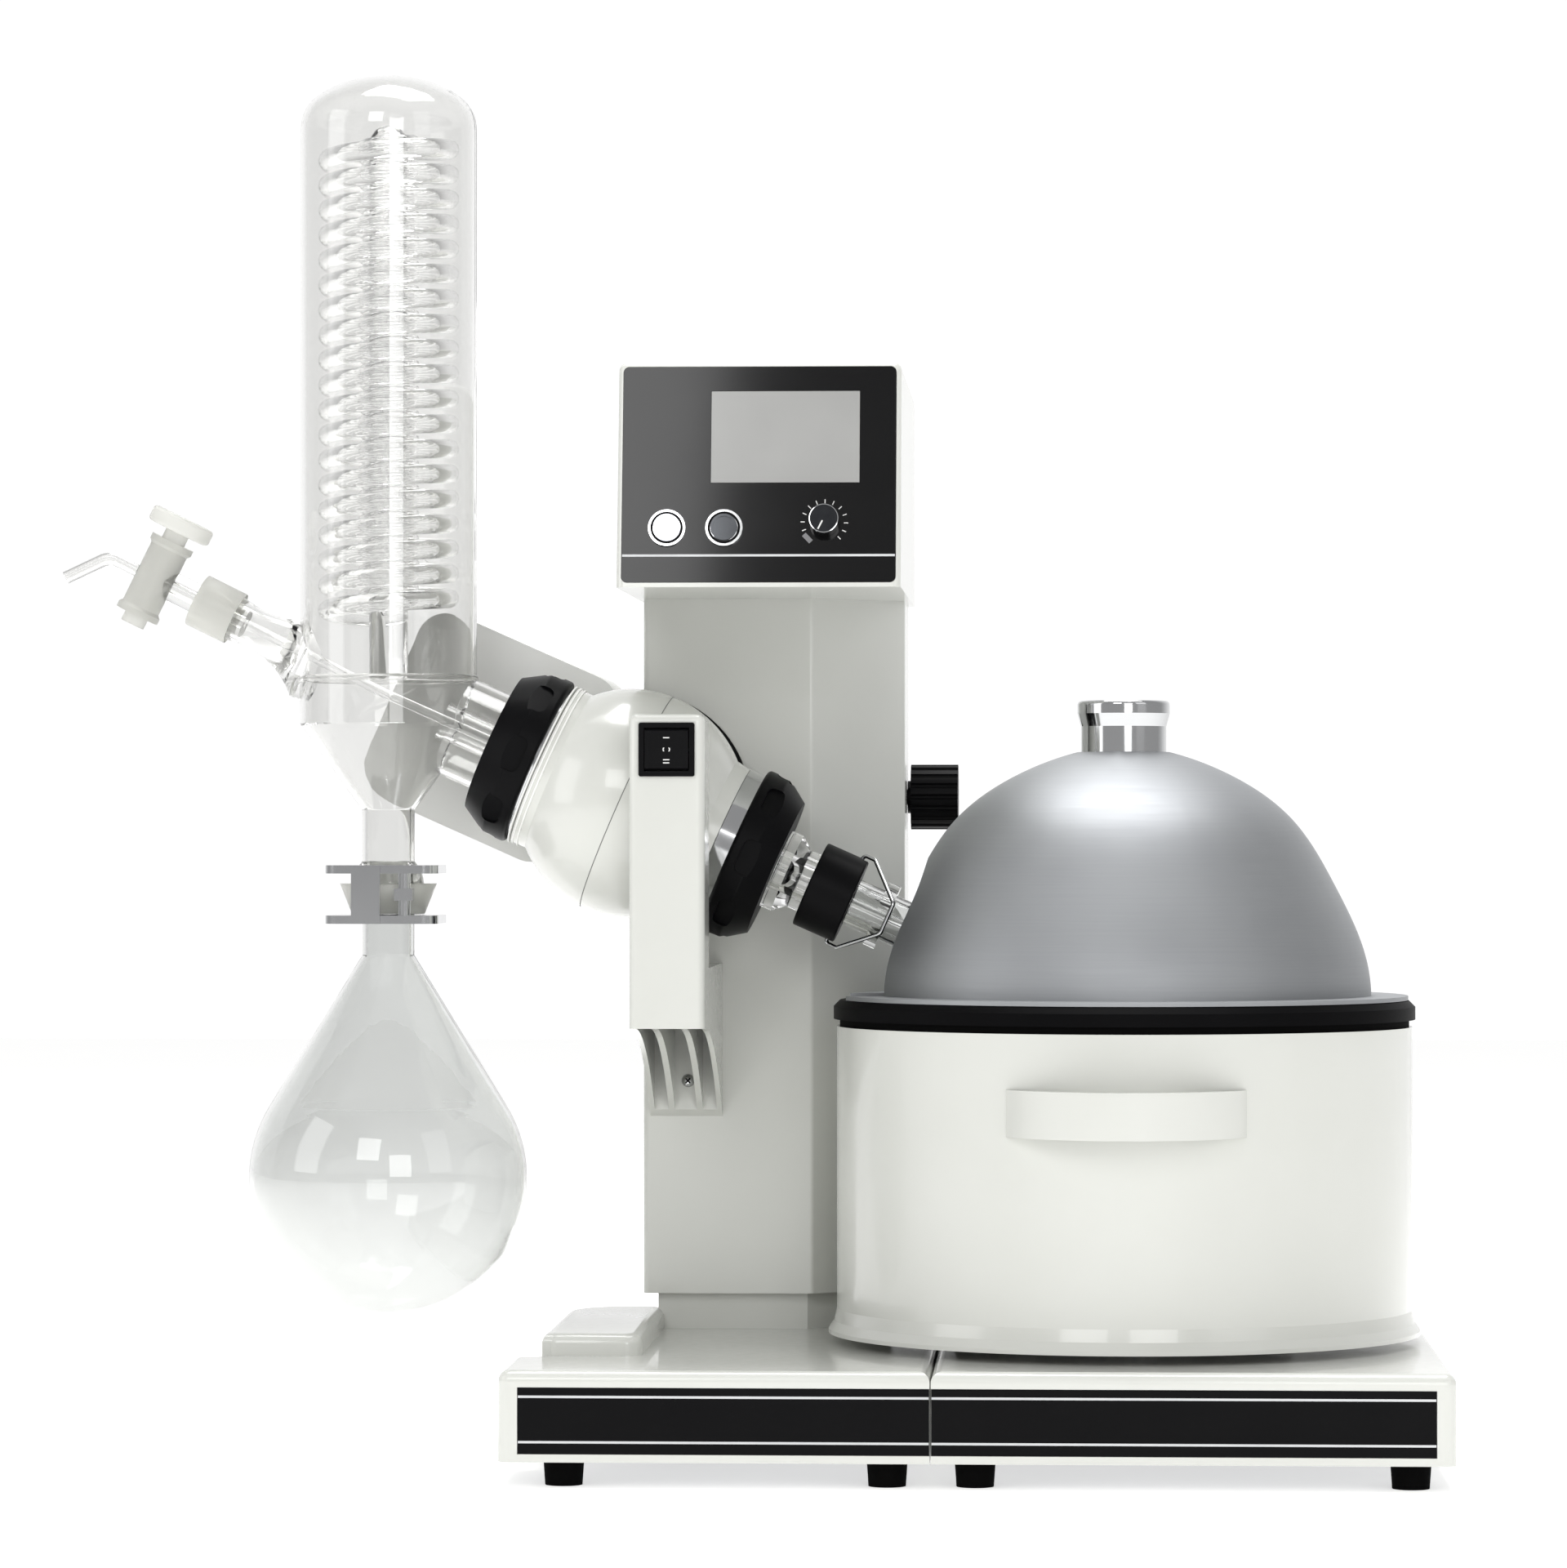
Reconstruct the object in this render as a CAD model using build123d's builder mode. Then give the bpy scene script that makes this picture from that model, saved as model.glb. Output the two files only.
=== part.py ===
from build123d import *
import math
import os

os.makedirs("parts", exist_ok=True)

# Fits shared by the whole machine, in millimetres
RUNNING_CLEARANCE = 0.05
SLIDE_CLEARANCE = 0.4
SEAT_GAP = 0.3
PANEL_CLEARANCE = 0.2
BLACK_STRIP_DEPTH = 1.5

# Base of the lift column, standing on its feet
FOOT_HEIGHT = 12
FOOT_RADIUS = 9.5
FOOT_INSET = 20
FOOT_TAPER = 4
BASE_HEIGHT = 42
BASE_FRONT = -180
BASE_BACK = 180
BASE_LEFT = -103.5
BASE_SEAM = 95
SEAM_GAP = 0.5
BASE_WALL = 3
BASE_CORNER = 5
BASE_EDGE = 5
BAR_BACK = -100
REAR_STEP = 12
PAD_RISE = 10
PAD_INSET = 1.5
PAD_WIDTH = 40
PAD_BACK = 75
PAD_CORNER = 32
PAD_EDGE = 4
PLATE_THICKNESS = 2
STRIP_BOTTOM = 3.7
STRIP_HEIGHT = 30.7
STRIP_END = 9.1
INLET_X = -30
INLET_WIDTH = 27
INLET_HEIGHT = 19.5
INLET_DEPTH = 20
INLET_LIP = 2
INLET_RECESS = 13
INLET_PIN_SPACING = 7

# Base of the bath and the bath itself
BATH_BASE_RIGHT = 335
TUB_X = 185
TUB_RADIUS = 139.5
TUB_GAP = 4.5
TUB_HEIGHT = 148.5
TUB_WALL = 2
TUB_FLARE = 4
TUB_FLARE_HEIGHT = 12
TUB_FLOOR = 3
TUB_FOOT_RADIUS = 82
GASKET_HEIGHT = 3.5
GASKET_INSET = 1.5
RIM_OVERHANG = 1.5
RIM_HEIGHT = 9.1
RIM_ROUND = 3
POT_INSET = 14.5
POT_WALL = 2
POT_FLOOR_DROP = 141.6
POT_CORNER = 18
HEATER_RING = 70
HEATER_TUBE = 3.5
PROBE_RADIUS = 4
PROBE_OFFSET = 30
HANDLE_WIDTH = 112
HANDLE_HEIGHT = 22
HANDLE_REACH = 26
HANDLE_STRAP = 5
HANDLE_TOP_DROP = 26
LID_FLANGE_INSET = 3.4
LID_FLANGE = 2
LID_INSET = 5.2
LID_RISE = 118
LID_TOP_RADIUS = 22.5
LID_WALL = 1.6
NOTCH_HALF_WIDTH = 31
KNOB_HEIGHT = 25
KNOB_RADIUS = 22.5
KNOB_WAIST = 20.8

# Telescopic lift column; its right front corner is cut away beside the bath
COLUMN_LEFT = -53
COLUMN_RIGHT = 76
COLUMN_FRONT = 57
COLUMN_BACK = 165
COLUMN_CUT_X = 45
COLUMN_CUT_Y = 40
COLUMN_CORNER = 3
SLEEVE_GAP = 18
SLEEVE_WALL = 6.6
SLEEVE_CAP = 6
COLUMN_WALL = 4
COLUMN_DROP = 69
LIFT_X = 8
LIFT_Y = 115
LIFT_MOTOR_SIDE = 42
LIFT_MOTOR_HEIGHT = 56
SCREW_RADIUS = 6
SCREW_PROUD = 15
NUT_RISE = 40
NUT_HEIGHT = 30
NUT_RADIUS = 12
NUT_TUBE_BORE = 8

# Control box on top of the sleeve
BOX_LEFT = -56
BOX_WIDTH = 135
BOX_FRONT = -88
BOX_BACK = 168
BOX_HEIGHT = 108
BOX_LEAN = 10
BOX_WALL = 3
BOX_EDGE = 4
FASCIA_WIDTH = 130
FASCIA_HEIGHT = 105
FASCIA_CORNER = 3
FASCIA_THICKNESS = 2
FASCIA_LEDGE = 6
SCREEN_WIDTH = 70.6
SCREEN_HEIGHT = 44.6
SCREEN_X = 12.4
SCREEN_ROW = 70.7
SCREEN_THICKNESS = 1.2
BUTTON_ROW = 26.2
POWER_X = -43.6
HEAT_X = -16.4
BUTTON_RADIUS = 6.4
BUTTON_PROUD = 3.2
BUTTON_DEPTH = 9
BUTTON_DISH = 0.5
BEZEL_RADIUS = 8.85
BEZEL_HEIGHT = 1.6
BEZEL_WALL = 1.2
SPEED_X = 31.2
SPEED_ROW = 28.9
SPEED_RADIUS = 7
SPEED_HEIGHT = 9
SPEED_SHAFT = 3
BOARD_WIDTH = 116
BOARD_HEIGHT = 78
BOARD_THICKNESS = 1.6
BOARD_SETBACK = 14
POST_RADIUS = 3

# Switch arm in front of the drive head, on a ribbed corbel
ARM_LEFT = -49.4
ARM_WIDTH = 35.8
ARM_FRONT = -93
ARM_DEPTH = 36
ARM_TOP_DROP = 60
ARM_HEIGHT = 149
ARM_EDGE = 4
CORBEL_FALL = 48
CORBEL_DEPTH = 28
CORBEL_PLATE = 5
CORBEL_RIB = 3
CORBEL_SLOT = 7
CORBEL_MIDDLE_SLOT = 11
ROCKER_DROP = 17
ROCKER_WIDTH = 20.6
ROCKER_RADIUS = 9.9
ROCKER_PROUD = 4.6
ROCKER_DIP = 1.6
ROCKER_BACK = 3
ROCKER_PIVOT = 1
ROCKER_PIN = 1.5
ROCKER_GAP = 0.4
FRAME_WIDTH = 26.5
FRAME_HEIGHT = 25.5
FRAME_PROUD = 1.8
FRAME_DEPTH = 14
FRAME_WALL = 1
CLAMP_KNOB_RADIUS = 16.5
CLAMP_KNOB_LENGTH = 24
CLAMP_KNOB_NECK = 2
CLAMP_KNOB_Y = 140
CLAMP_KNOB_DROP = 98
CLAMP_STUD = 4
CLAMP_GROOVES = 18
CLAMP_GROOVE_RADIUS = 1.4

# Drive head: a ball on a drum, split square to the spindle
DRIVE_TILT = 24
HEAD_X = -55
HEAD_OVER_RIM = 95.4
HEAD_DROP = 102
BALL_RADIUS = 56
SHELL_WALL = 4
DRUM_RADIUS = 45
DRUM_BACK = 50
DRUM_WALL = 6
SPLIT_S = -2
COLLAR_LEFT_END = -46
COLLAR_LEFT_RADIUS = 40.7
COLLAR_LEFT_BORE = 30
COLLAR_RIGHT_END = 46.7
COLLAR_RIGHT_RADIUS = 38.7
COLLAR_DRAFT = 2
BEARING_LEFT = -30
BEARING_RIGHT = 25
BEARING_WIDTH = 12
BEARING_RADIUS = 26
WEB_BACK = 34
DISC_THICKNESS = 4
DISC_RADIUS = 55.5
PIVOT_X = -25
PIVOT_RISE = 1
PIVOT_RADIUS = 8
PIVOT_BOSS = 24
PIVOT_HEAD = 10
PIVOT_HEAD_THICKNESS = 4

# Belt drive and its housing behind the head
BELT_S = -37
BELT_WIDTH = 7
BELT_THICKNESS = 1.6
BELT_GAP = 0.35
MOTOR_Y = 97
SPINDLE_PULLEY_RADIUS = 18
MOTOR_PULLEY_RADIUS = 9
MOTOR_SHAFT = 4
MOTOR_RADIUS = 30
MOTOR_FRONT = -50
HOUSING_LEFT = -135
HOUSING_RIGHT = -28
HOUSING_HEIGHT = 99
HOUSING_BACK = 140
HOUSING_WALL = 3
HOUSING_CORNER = 16
HOUSING_EDGE = 8
BELT_SLOT_MARGIN = 2
BELT_SLOT_FRONT = 20

# Spindle, its nuts and the vapour tube; s runs along the drive axis from the ball centre
SPINDLE_RADIUS = 15
SPINDLE_LEFT = -50
SPINDLE_RING_RADIUS = 39
SPINDLE_RING_WIDTH = 8
SPINDLE_THREAD_RADIUS = 33
SPINDLE_THREAD_LENGTH = 17
VAPOUR_RADIUS = 9
VAPOUR_BORE = 7
VAPOUR_LEFT = -101
VAPOUR_RIGHT = 138
VAPOUR_CUFF_RADIUS = 20
VAPOUR_CUFF_LENGTH = 18
VAPOUR_CUFF_END = 15
NUT_LENGTH = 22.4
NUT_BIG_RADIUS = 42.4
NUT_SMALL_RADIUS = 34.5
NUT_LIP = 4
NUT_GRIPS = 8
NUT_GRIP_DEPTH = 2.2
NUT_GRIP_WIDTH = 18
NUT_GRIP_START = 5
NUT_GRIP_CORNER = 4
NUT_ROUND = 2
THREAD_RADIUS = 38
THREAD_RING_LENGTH = 21
THREAD_RING_BORE = 31
THREAD_SHOW = 3
SEAL_LENGTH = 10
FLANGE_RADIUS = 30
FLANGE_THICKNESS = 5
CAP_LENGTH = 22
CAP_RADIUS = 21.5
CAP_NOTCH = 5
BAIL_WIRE = 1
BAIL_PIVOT = 18.5
BAIL_REACH = 23
BAIL_ELBOW = 6
BAIL_FRONT = 20
BAIL_CROSS = 8
BAIL_STAND = 1.8
BAIL_SEAT = 3

# Evaporating flask
NECK_RADIUS = 11.7
NECK_BORE = 9.6
NECK_START = 8
FLASK_S = 245
FLASK_RADIUS = 65.5
FLASK_WALL = 2
BEAD_S = 134
BEAD_RADIUS = 16.5
BEAD_WIDTH = 6

# Condenser and cooling coil
CONDENSER_OFFSET = 119
CONDENSER_RADIUS = 43.2
CONDENSER_WALL = 2.2
CONDENSER_SHOULDER = 276
CONDENSER_DOME = 27
DOME_BULGE = 0.72
CONDENSER_STRAIGHT = 14
CONDENSER_CONE = 42
CONDENSER_NECK = 12.85
CONDENSER_NECK_LENGTH = 27
SIDE_ARM_RADIUS = 25
COIL_RADIUS = 29.75
COIL_TUBE = 4.75
COIL_SIDES = 8
COIL_PITCH = 12.2
COIL_BOTTOM = 38
COIL_TURNS = 19
CORE_RADIUS = 9.5
CORE_WALL = 1.5
CORE_DROP = 8
CORE_RISE = 9.5
NIPPLE_RADIUS = 5
NIPPLE_LENGTH = 30
NIPPLE_ROOT_RADIUS = 6.5
NIPPLE_ROOT_LENGTH = 8
NIPPLE_BORE = 3
NIPPLE_SPACING = 24
NIPPLE_RISE = 62
VACUUM_RISE = 88

# Feed joint and stopcock on the left of the condenser
FEED_ANGLE = 26.5
FEED_THROAT_S = 76
FEED_THROAT = 10
FEED_FLARE = 22
FEED_SOCKET = 13
FEED_SOCKET_S = 97
FEED_END_S = 105
FEED_BORE = 8
STOPCOCK_S = 128.5
STOPCOCK_RADIUS = 9.3
STOPCOCK_LENGTH = 40
STOPCOCK_LIP = 1.4
STOPCOCK_STEM = 7.5
STOPCOCK_STEM_REACH = 26
PLUG_RADIUS = 6
PLUG_HANDLE_RADIUS = 16
PLUG_HANDLE_WIDTH = 8
PLUG_HANDLE_RISE = 5
PLUG_NUB = 5
OUTLET_RADIUS = 3.75
OUTLET_BORE = 2
OUTLET_RUN = 25
OUTLET_TIP = 24
OUTLET_DROP_ANGLE = 25
OUTLET_BEND = 9
FEED_TUBE_RADIUS = 2.4
FEED_TUBE_END = 205

# Ball joint, its clamp and the receiving flask
JOINT_RADIUS = 17.5
JOINT_DROP = 10
CUP_RISE = 1
CUP_RIM = 23.4
CUP_FOOT = 17.5
CUP_HEIGHT = 15
RECEIVER_NECK = 12.75
RECEIVER_NECK_LENGTH = 20
RECEIVER_RADIUS = 68
RECEIVER_CONE_ANGLE = 32
RECEIVER_CENTRE_DROP = 144
RECEIVER_WALL = 2.2
FORK_RISE = 6
FORK_THICKNESS = 4
FORK_WIDTH = 55
FORK_FRONT = 36
FORK_BACK = 16
FORK_CORNER = 8
FORK_LINK_WIDTH = 14
FORK_LINK = 3
FORK_SCREW_X = 11
FORK_SCREW_Y = -30
FORK_SCREW_RADIUS = 3
FORK_NUT_SIDE = 9
FORK_NUT_HEIGHT = 6

# Levels and places worked out from the sizes above
base_top = FOOT_HEIGHT + BASE_HEIGHT
rear_left = BASE_LEFT + REAR_STEP
base_right = BASE_SEAM - SEAM_GAP / 2
bath_left = BASE_SEAM + SEAM_GAP / 2
tub_bottom = base_top + TUB_GAP
pot_radius = TUB_RADIUS - POT_INSET
rim_radius = TUB_RADIUS + RIM_OVERHANG
lid_flange_radius = rim_radius - LID_FLANGE_INSET
lid_radius = pot_radius - LID_INSET
tub_top = tub_bottom + TUB_HEIGHT
rim_bottom = tub_top + GASKET_HEIGHT
rim_top = rim_bottom + RIM_HEIGHT
pot_floor = rim_top - POT_FLOOR_DROP
lid_bottom = rim_top + SEAT_GAP
lid_top = lid_bottom + LID_FLANGE + LID_RISE
sleeve_bottom = base_top + SLEEVE_GAP
head_z = rim_top + HEAD_OVER_RIM
sleeve_top = head_z + HEAD_DROP
sleeve_height = sleeve_top - sleeve_bottom
column_height = sleeve_height - COLUMN_DROP
motor_top = base_top + LIFT_MOTOR_HEIGHT
box_top = sleeve_top + BOX_HEIGHT
box_middle = BOX_LEFT + BOX_WIDTH / 2
arm_top = sleeve_top - ARM_TOP_DROP
arm_bottom = arm_top - ARM_HEIGHT
arm_back = ARM_FRONT + ARM_DEPTH
arm_middle = ARM_LEFT + ARM_WIDTH / 2
disc_back = DRUM_BACK + DISC_THICKNESS

# Drive axis: s along it, p across it in the upright plane
tilt = math.radians(DRIVE_TILT)
drive_direction = Vector(math.cos(tilt), 0, -math.sin(tilt))
head_centre = Vector(HEAD_X, 0, head_z)
drive_axis = Axis(head_centre, drive_direction)
drive_section = Plane(origin=head_centre, x_dir=drive_direction, z_dir=(0, -1, 0))

# The condenser stands upright where its axis meets the drive axis
condenser_x = HEAD_X - CONDENSER_OFFSET
cross_z = head_z + CONDENSER_OFFSET * math.tan(tilt)
joint_z = cross_z - CONDENSER_STRAIGHT - CONDENSER_CONE - CONDENSER_NECK_LENGTH - JOINT_DROP
condenser_axis = Axis((condenser_x, 0, 0), (0, 0, 1))
feed_angle = math.radians(FEED_ANGLE)
feed_direction = Vector(-math.cos(feed_angle), 0, math.sin(feed_angle))
cross_point = Vector(condenser_x, 0, cross_z)
feed_axis = Axis(cross_point, feed_direction)
feed_section = Plane(origin=cross_point, x_dir=feed_direction, z_dir=(0, -1, 0))


def upright(x, y):
    """Drawing plane facing the front at (x, y): across is X, up is Z."""
    return Plane(origin=(x, y, 0), x_dir=(1, 0, 0), z_dir=(0, -1, 0))


def square_to_drive(s):
    """Plane square to the drive axis at distance s: across is Y, up is p."""
    return Plane(origin=head_centre + drive_direction * s, x_dir=(0, 1, 0), z_dir=drive_direction)


def drive_point(s, p, y):
    """Point at distance s along the drive axis, p across it and y behind it."""
    return drive_section.from_local_coords((s, p, -y))


def grip_planes(s):
    """Planes on the floors of a nut's finger pockets, at distance s along the drive axis, facing out."""
    floor = NUT_BIG_RADIUS - NUT_GRIP_DEPTH
    planes = []
    for grip in range(NUT_GRIPS):
        turn = math.tau * grip / NUT_GRIPS
        middle = drive_point(s, floor * math.cos(turn), floor * math.sin(turn))
        outwards = middle - head_centre - drive_direction * s
        planes.append(Plane(origin=middle, x_dir=drive_direction, z_dir=outwards))
    return planes


def save(builder, node):
    """Label one finished piece and write it to its own file."""
    builder.part.label = node
    export_step(builder.part, f"parts/{node}.step")


# Base housing: a front bar, a deeper rear body and a raised pad beside the column
with BuildPart() as base_housing:
    with BuildSketch(Plane.XY.offset(FOOT_HEIGHT)) as base_plan:
        with BuildLine():
            Polyline(
                (BASE_LEFT, BASE_FRONT),
                (base_right, BASE_FRONT),
                (base_right, BASE_BACK),
                (rear_left, BASE_BACK),
                (rear_left, BAR_BACK),
                (BASE_LEFT, BAR_BACK),
                close=True,
            )
        make_face()
        fillet(base_plan.vertices().filter_by_position(Axis.X, BASE_LEFT, rear_left), BASE_CORNER)
    extrude(amount=BASE_HEIGHT)
    fillet(base_housing.edges().group_by(Axis.Z)[-1], BASE_EDGE)
    with BuildSketch(Plane.XY.offset(base_top - BASE_EDGE)) as pad_plan:
        with Locations((rear_left + PAD_INSET, BAR_BACK + PAD_INSET)):
            Rectangle(PAD_WIDTH, PAD_BACK - BAR_BACK, align=(Align.MIN, Align.MIN))
        fillet(pad_plan.vertices().sort_by(Axis.X)[:2].sort_by(Axis.Y)[-1], PAD_CORNER)
    extrude(amount=BASE_EDGE + PAD_RISE)
    fillet(base_housing.edges().group_by(Axis.Z)[-1], PAD_EDGE)
    with BuildSketch(Plane.XY.offset(FOOT_HEIGHT)):
        with BuildLine():
            Polyline(
                (BASE_LEFT + BASE_WALL, BASE_FRONT + 2 * BASE_WALL),
                (base_right - BASE_WALL, BASE_FRONT + 2 * BASE_WALL),
                (base_right - BASE_WALL, BASE_BACK - BASE_WALL),
                (rear_left + BASE_WALL, BASE_BACK - BASE_WALL),
                (rear_left + BASE_WALL, BAR_BACK - BASE_WALL),
                (BASE_LEFT + BASE_WALL, BAR_BACK - BASE_WALL),
                close=True,
            )
        make_face()
    extrude(amount=BASE_HEIGHT - BASE_WALL, mode=Mode.SUBTRACT)
    with BuildSketch(upright(0, BASE_FRONT)):
        with Locations((BASE_LEFT + STRIP_END, FOOT_HEIGHT + STRIP_BOTTOM)):
            Rectangle(
                base_right - BASE_LEFT - STRIP_END,
                STRIP_HEIGHT,
                align=(Align.MIN, Align.MIN),
            )
    extrude(amount=-BLACK_STRIP_DEPTH, mode=Mode.SUBTRACT)
    with BuildSketch(upright(INLET_X, BASE_BACK)):
        with Locations((0, FOOT_HEIGHT + BASE_HEIGHT / 2)):
            Rectangle(INLET_WIDTH + 2 * PANEL_CLEARANCE, INLET_HEIGHT + 2 * PANEL_CLEARANCE)
    extrude(amount=2 * BASE_WALL, mode=Mode.SUBTRACT)
save(base_housing, "base_housing")

# Black strip let into the front of the column base
with BuildPart() as base_front_panel:
    with BuildSketch(upright(0, BASE_FRONT)):
        with Locations(
            (BASE_LEFT + STRIP_END + PANEL_CLEARANCE, FOOT_HEIGHT + STRIP_BOTTOM + PANEL_CLEARANCE)
        ):
            Rectangle(
                base_right - BASE_LEFT - STRIP_END - 2 * PANEL_CLEARANCE,
                STRIP_HEIGHT - 2 * PANEL_CLEARANCE,
                align=(Align.MIN, Align.MIN),
            )
    extrude(amount=-BLACK_STRIP_DEPTH)
save(base_front_panel, "base_front_panel")

# Mains inlet let into the back wall of the column base, with three pins in its well
with BuildPart() as mains_inlet:
    inlet_middle = FOOT_HEIGHT + BASE_HEIGHT / 2
    with BuildSketch(upright(INLET_X, BASE_BACK)):
        with Locations((0, inlet_middle)):
            Rectangle(INLET_WIDTH, INLET_HEIGHT)
    extrude(amount=INLET_DEPTH)
    with BuildSketch(upright(INLET_X, BASE_BACK)):
        with Locations((0, inlet_middle)):
            RectangleRounded(INLET_WIDTH - 2 * INLET_LIP, INLET_HEIGHT - 2 * INLET_LIP, INLET_LIP)
    extrude(amount=INLET_RECESS, mode=Mode.SUBTRACT)
    with BuildSketch(upright(INLET_X, BASE_BACK - INLET_RECESS)):
        with Locations(
            (-INLET_PIN_SPACING, inlet_middle - INLET_LIP),
            (0, inlet_middle + INLET_LIP),
            (INLET_PIN_SPACING, inlet_middle - INLET_LIP),
        ):
            Rectangle(INLET_LIP, 2 * INLET_LIP)
    extrude(amount=-INLET_RECESS + INLET_LIP)
save(mains_inlet, "mains_inlet")

# Bath base housing, a plain box beside the column base
with BuildPart() as bath_base_housing:
    with BuildSketch(Plane.XY.offset(FOOT_HEIGHT)) as bath_base_plan:
        with Locations((bath_left, BASE_FRONT)):
            Rectangle(
                BATH_BASE_RIGHT - bath_left, BASE_BACK - BASE_FRONT, align=(Align.MIN, Align.MIN)
            )
        fillet(bath_base_plan.vertices().group_by(Axis.X)[-1], BASE_CORNER)
    extrude(amount=BASE_HEIGHT)
    fillet(bath_base_housing.edges().group_by(Axis.Z)[-1], BASE_EDGE)
    with BuildSketch(Plane.XY.offset(FOOT_HEIGHT)):
        with Locations((bath_left + BASE_WALL, BASE_FRONT + 2 * BASE_WALL)):
            Rectangle(
                BATH_BASE_RIGHT - bath_left - 2 * BASE_WALL,
                BASE_BACK - BASE_FRONT - 3 * BASE_WALL,
                align=(Align.MIN, Align.MIN),
            )
    extrude(amount=BASE_HEIGHT - BASE_WALL, mode=Mode.SUBTRACT)
    with BuildSketch(upright(0, BASE_FRONT)):
        with Locations((bath_left, FOOT_HEIGHT + STRIP_BOTTOM)):
            Rectangle(
                BATH_BASE_RIGHT - STRIP_END - bath_left,
                STRIP_HEIGHT,
                align=(Align.MIN, Align.MIN),
            )
    extrude(amount=-BLACK_STRIP_DEPTH, mode=Mode.SUBTRACT)
save(bath_base_housing, "bath_base_housing")

# Black strip let into the front of the bath base
with BuildPart() as bath_front_panel:
    with BuildSketch(upright(0, BASE_FRONT)):
        with Locations(
            (bath_left + PANEL_CLEARANCE, FOOT_HEIGHT + STRIP_BOTTOM + PANEL_CLEARANCE)
        ):
            Rectangle(
                BATH_BASE_RIGHT - STRIP_END - bath_left - 2 * PANEL_CLEARANCE,
                STRIP_HEIGHT - 2 * PANEL_CLEARANCE,
                align=(Align.MIN, Align.MIN),
            )
    extrude(amount=-BLACK_STRIP_DEPTH)
save(bath_front_panel, "bath_front_panel")

# Bottom plates closing the two housings from below
with BuildPart() as bottom_plates:
    plate_inset = BASE_WALL + PANEL_CLEARANCE
    plate_front = BASE_FRONT + 2 * BASE_WALL + PANEL_CLEARANCE
    plate_back = BASE_BACK - plate_inset
    with BuildSketch(Plane.XY.offset(FOOT_HEIGHT)):
        with BuildLine():
            Polyline(
                (BASE_LEFT + plate_inset, plate_front),
                (base_right - plate_inset, plate_front),
                (base_right - plate_inset, plate_back),
                (rear_left + plate_inset, plate_back),
                (rear_left + plate_inset, BAR_BACK - plate_inset),
                (BASE_LEFT + plate_inset, BAR_BACK - plate_inset),
                close=True,
            )
        make_face()
        with Locations((bath_left + plate_inset, plate_front)):
            Rectangle(
                BATH_BASE_RIGHT - bath_left - 2 * plate_inset,
                plate_back - plate_front,
                align=(Align.MIN, Align.MIN),
            )
    extrude(amount=PLATE_THICKNESS)
save(bottom_plates, "bottom_plates")

# Eight tapered rubber feet, four under each unit
with BuildPart() as feet:
    foot_front = BASE_FRONT + FOOT_INSET
    foot_back = BASE_BACK - FOOT_INSET
    foot_columns = [
        rear_left + FOOT_INSET - BASE_WALL,
        base_right - FOOT_INSET,
        bath_left + FOOT_INSET,
        BATH_BASE_RIGHT - FOOT_INSET,
    ]
    with BuildSketch(Plane.XY.offset(FOOT_HEIGHT)):
        with Locations([(x, y) for x in foot_columns for y in (foot_front, foot_back)]):
            Circle(FOOT_RADIUS)
    extrude(amount=-FOOT_HEIGHT, taper=FOOT_TAPER)
save(feet, "feet")

# Fixed inner column, the sleeve's guide
column_plan = [
    (COLUMN_LEFT, COLUMN_FRONT),
    (COLUMN_RIGHT - COLUMN_CUT_X, COLUMN_FRONT),
    (COLUMN_RIGHT, COLUMN_FRONT + COLUMN_CUT_Y),
    (COLUMN_RIGHT, COLUMN_BACK),
    (COLUMN_LEFT, COLUMN_BACK),
]
column_inset = SLEEVE_WALL + SLIDE_CLEARANCE
with BuildPart() as inner_column:
    with BuildSketch(Plane.XY.offset(base_top)):
        with BuildLine():
            Polyline(*column_plan, close=True)
        make_face()
        offset(amount=-column_inset, kind=Kind.INTERSECTION, mode=Mode.REPLACE)
    extrude(amount=column_height)
    with BuildSketch(Plane.XY.offset(base_top)):
        with BuildLine():
            Polyline(*column_plan, close=True)
        make_face()
        offset(amount=-column_inset - COLUMN_WALL, kind=Kind.INTERSECTION, mode=Mode.REPLACE)
    extrude(amount=column_height, mode=Mode.SUBTRACT)
save(inner_column, "inner_column")

# Lift motor at the foot of the inner column
lift_motor_top = base_top + LIFT_MOTOR_HEIGHT
with BuildPart() as lift_motor:
    with BuildSketch(Plane.XY.offset(base_top)) as lift_motor_plan:
        with Locations((LIFT_X, LIFT_Y)):
            Rectangle(LIFT_MOTOR_SIDE, LIFT_MOTOR_SIDE)
        chamfer(lift_motor_plan.vertices(), BASE_EDGE)
    extrude(amount=LIFT_MOTOR_HEIGHT)
save(lift_motor, "lift_motor")

# Lift screw, turned by the motor
with BuildPart() as lift_screw:
    with BuildSketch(Plane.XY.offset(lift_motor_top + SEAT_GAP)):
        with Locations((LIFT_X, LIFT_Y)):
            Circle(SCREW_RADIUS)
    extrude(amount=base_top + column_height + SCREW_PROUD - motor_top)
save(lift_screw, "lift_screw")

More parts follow.
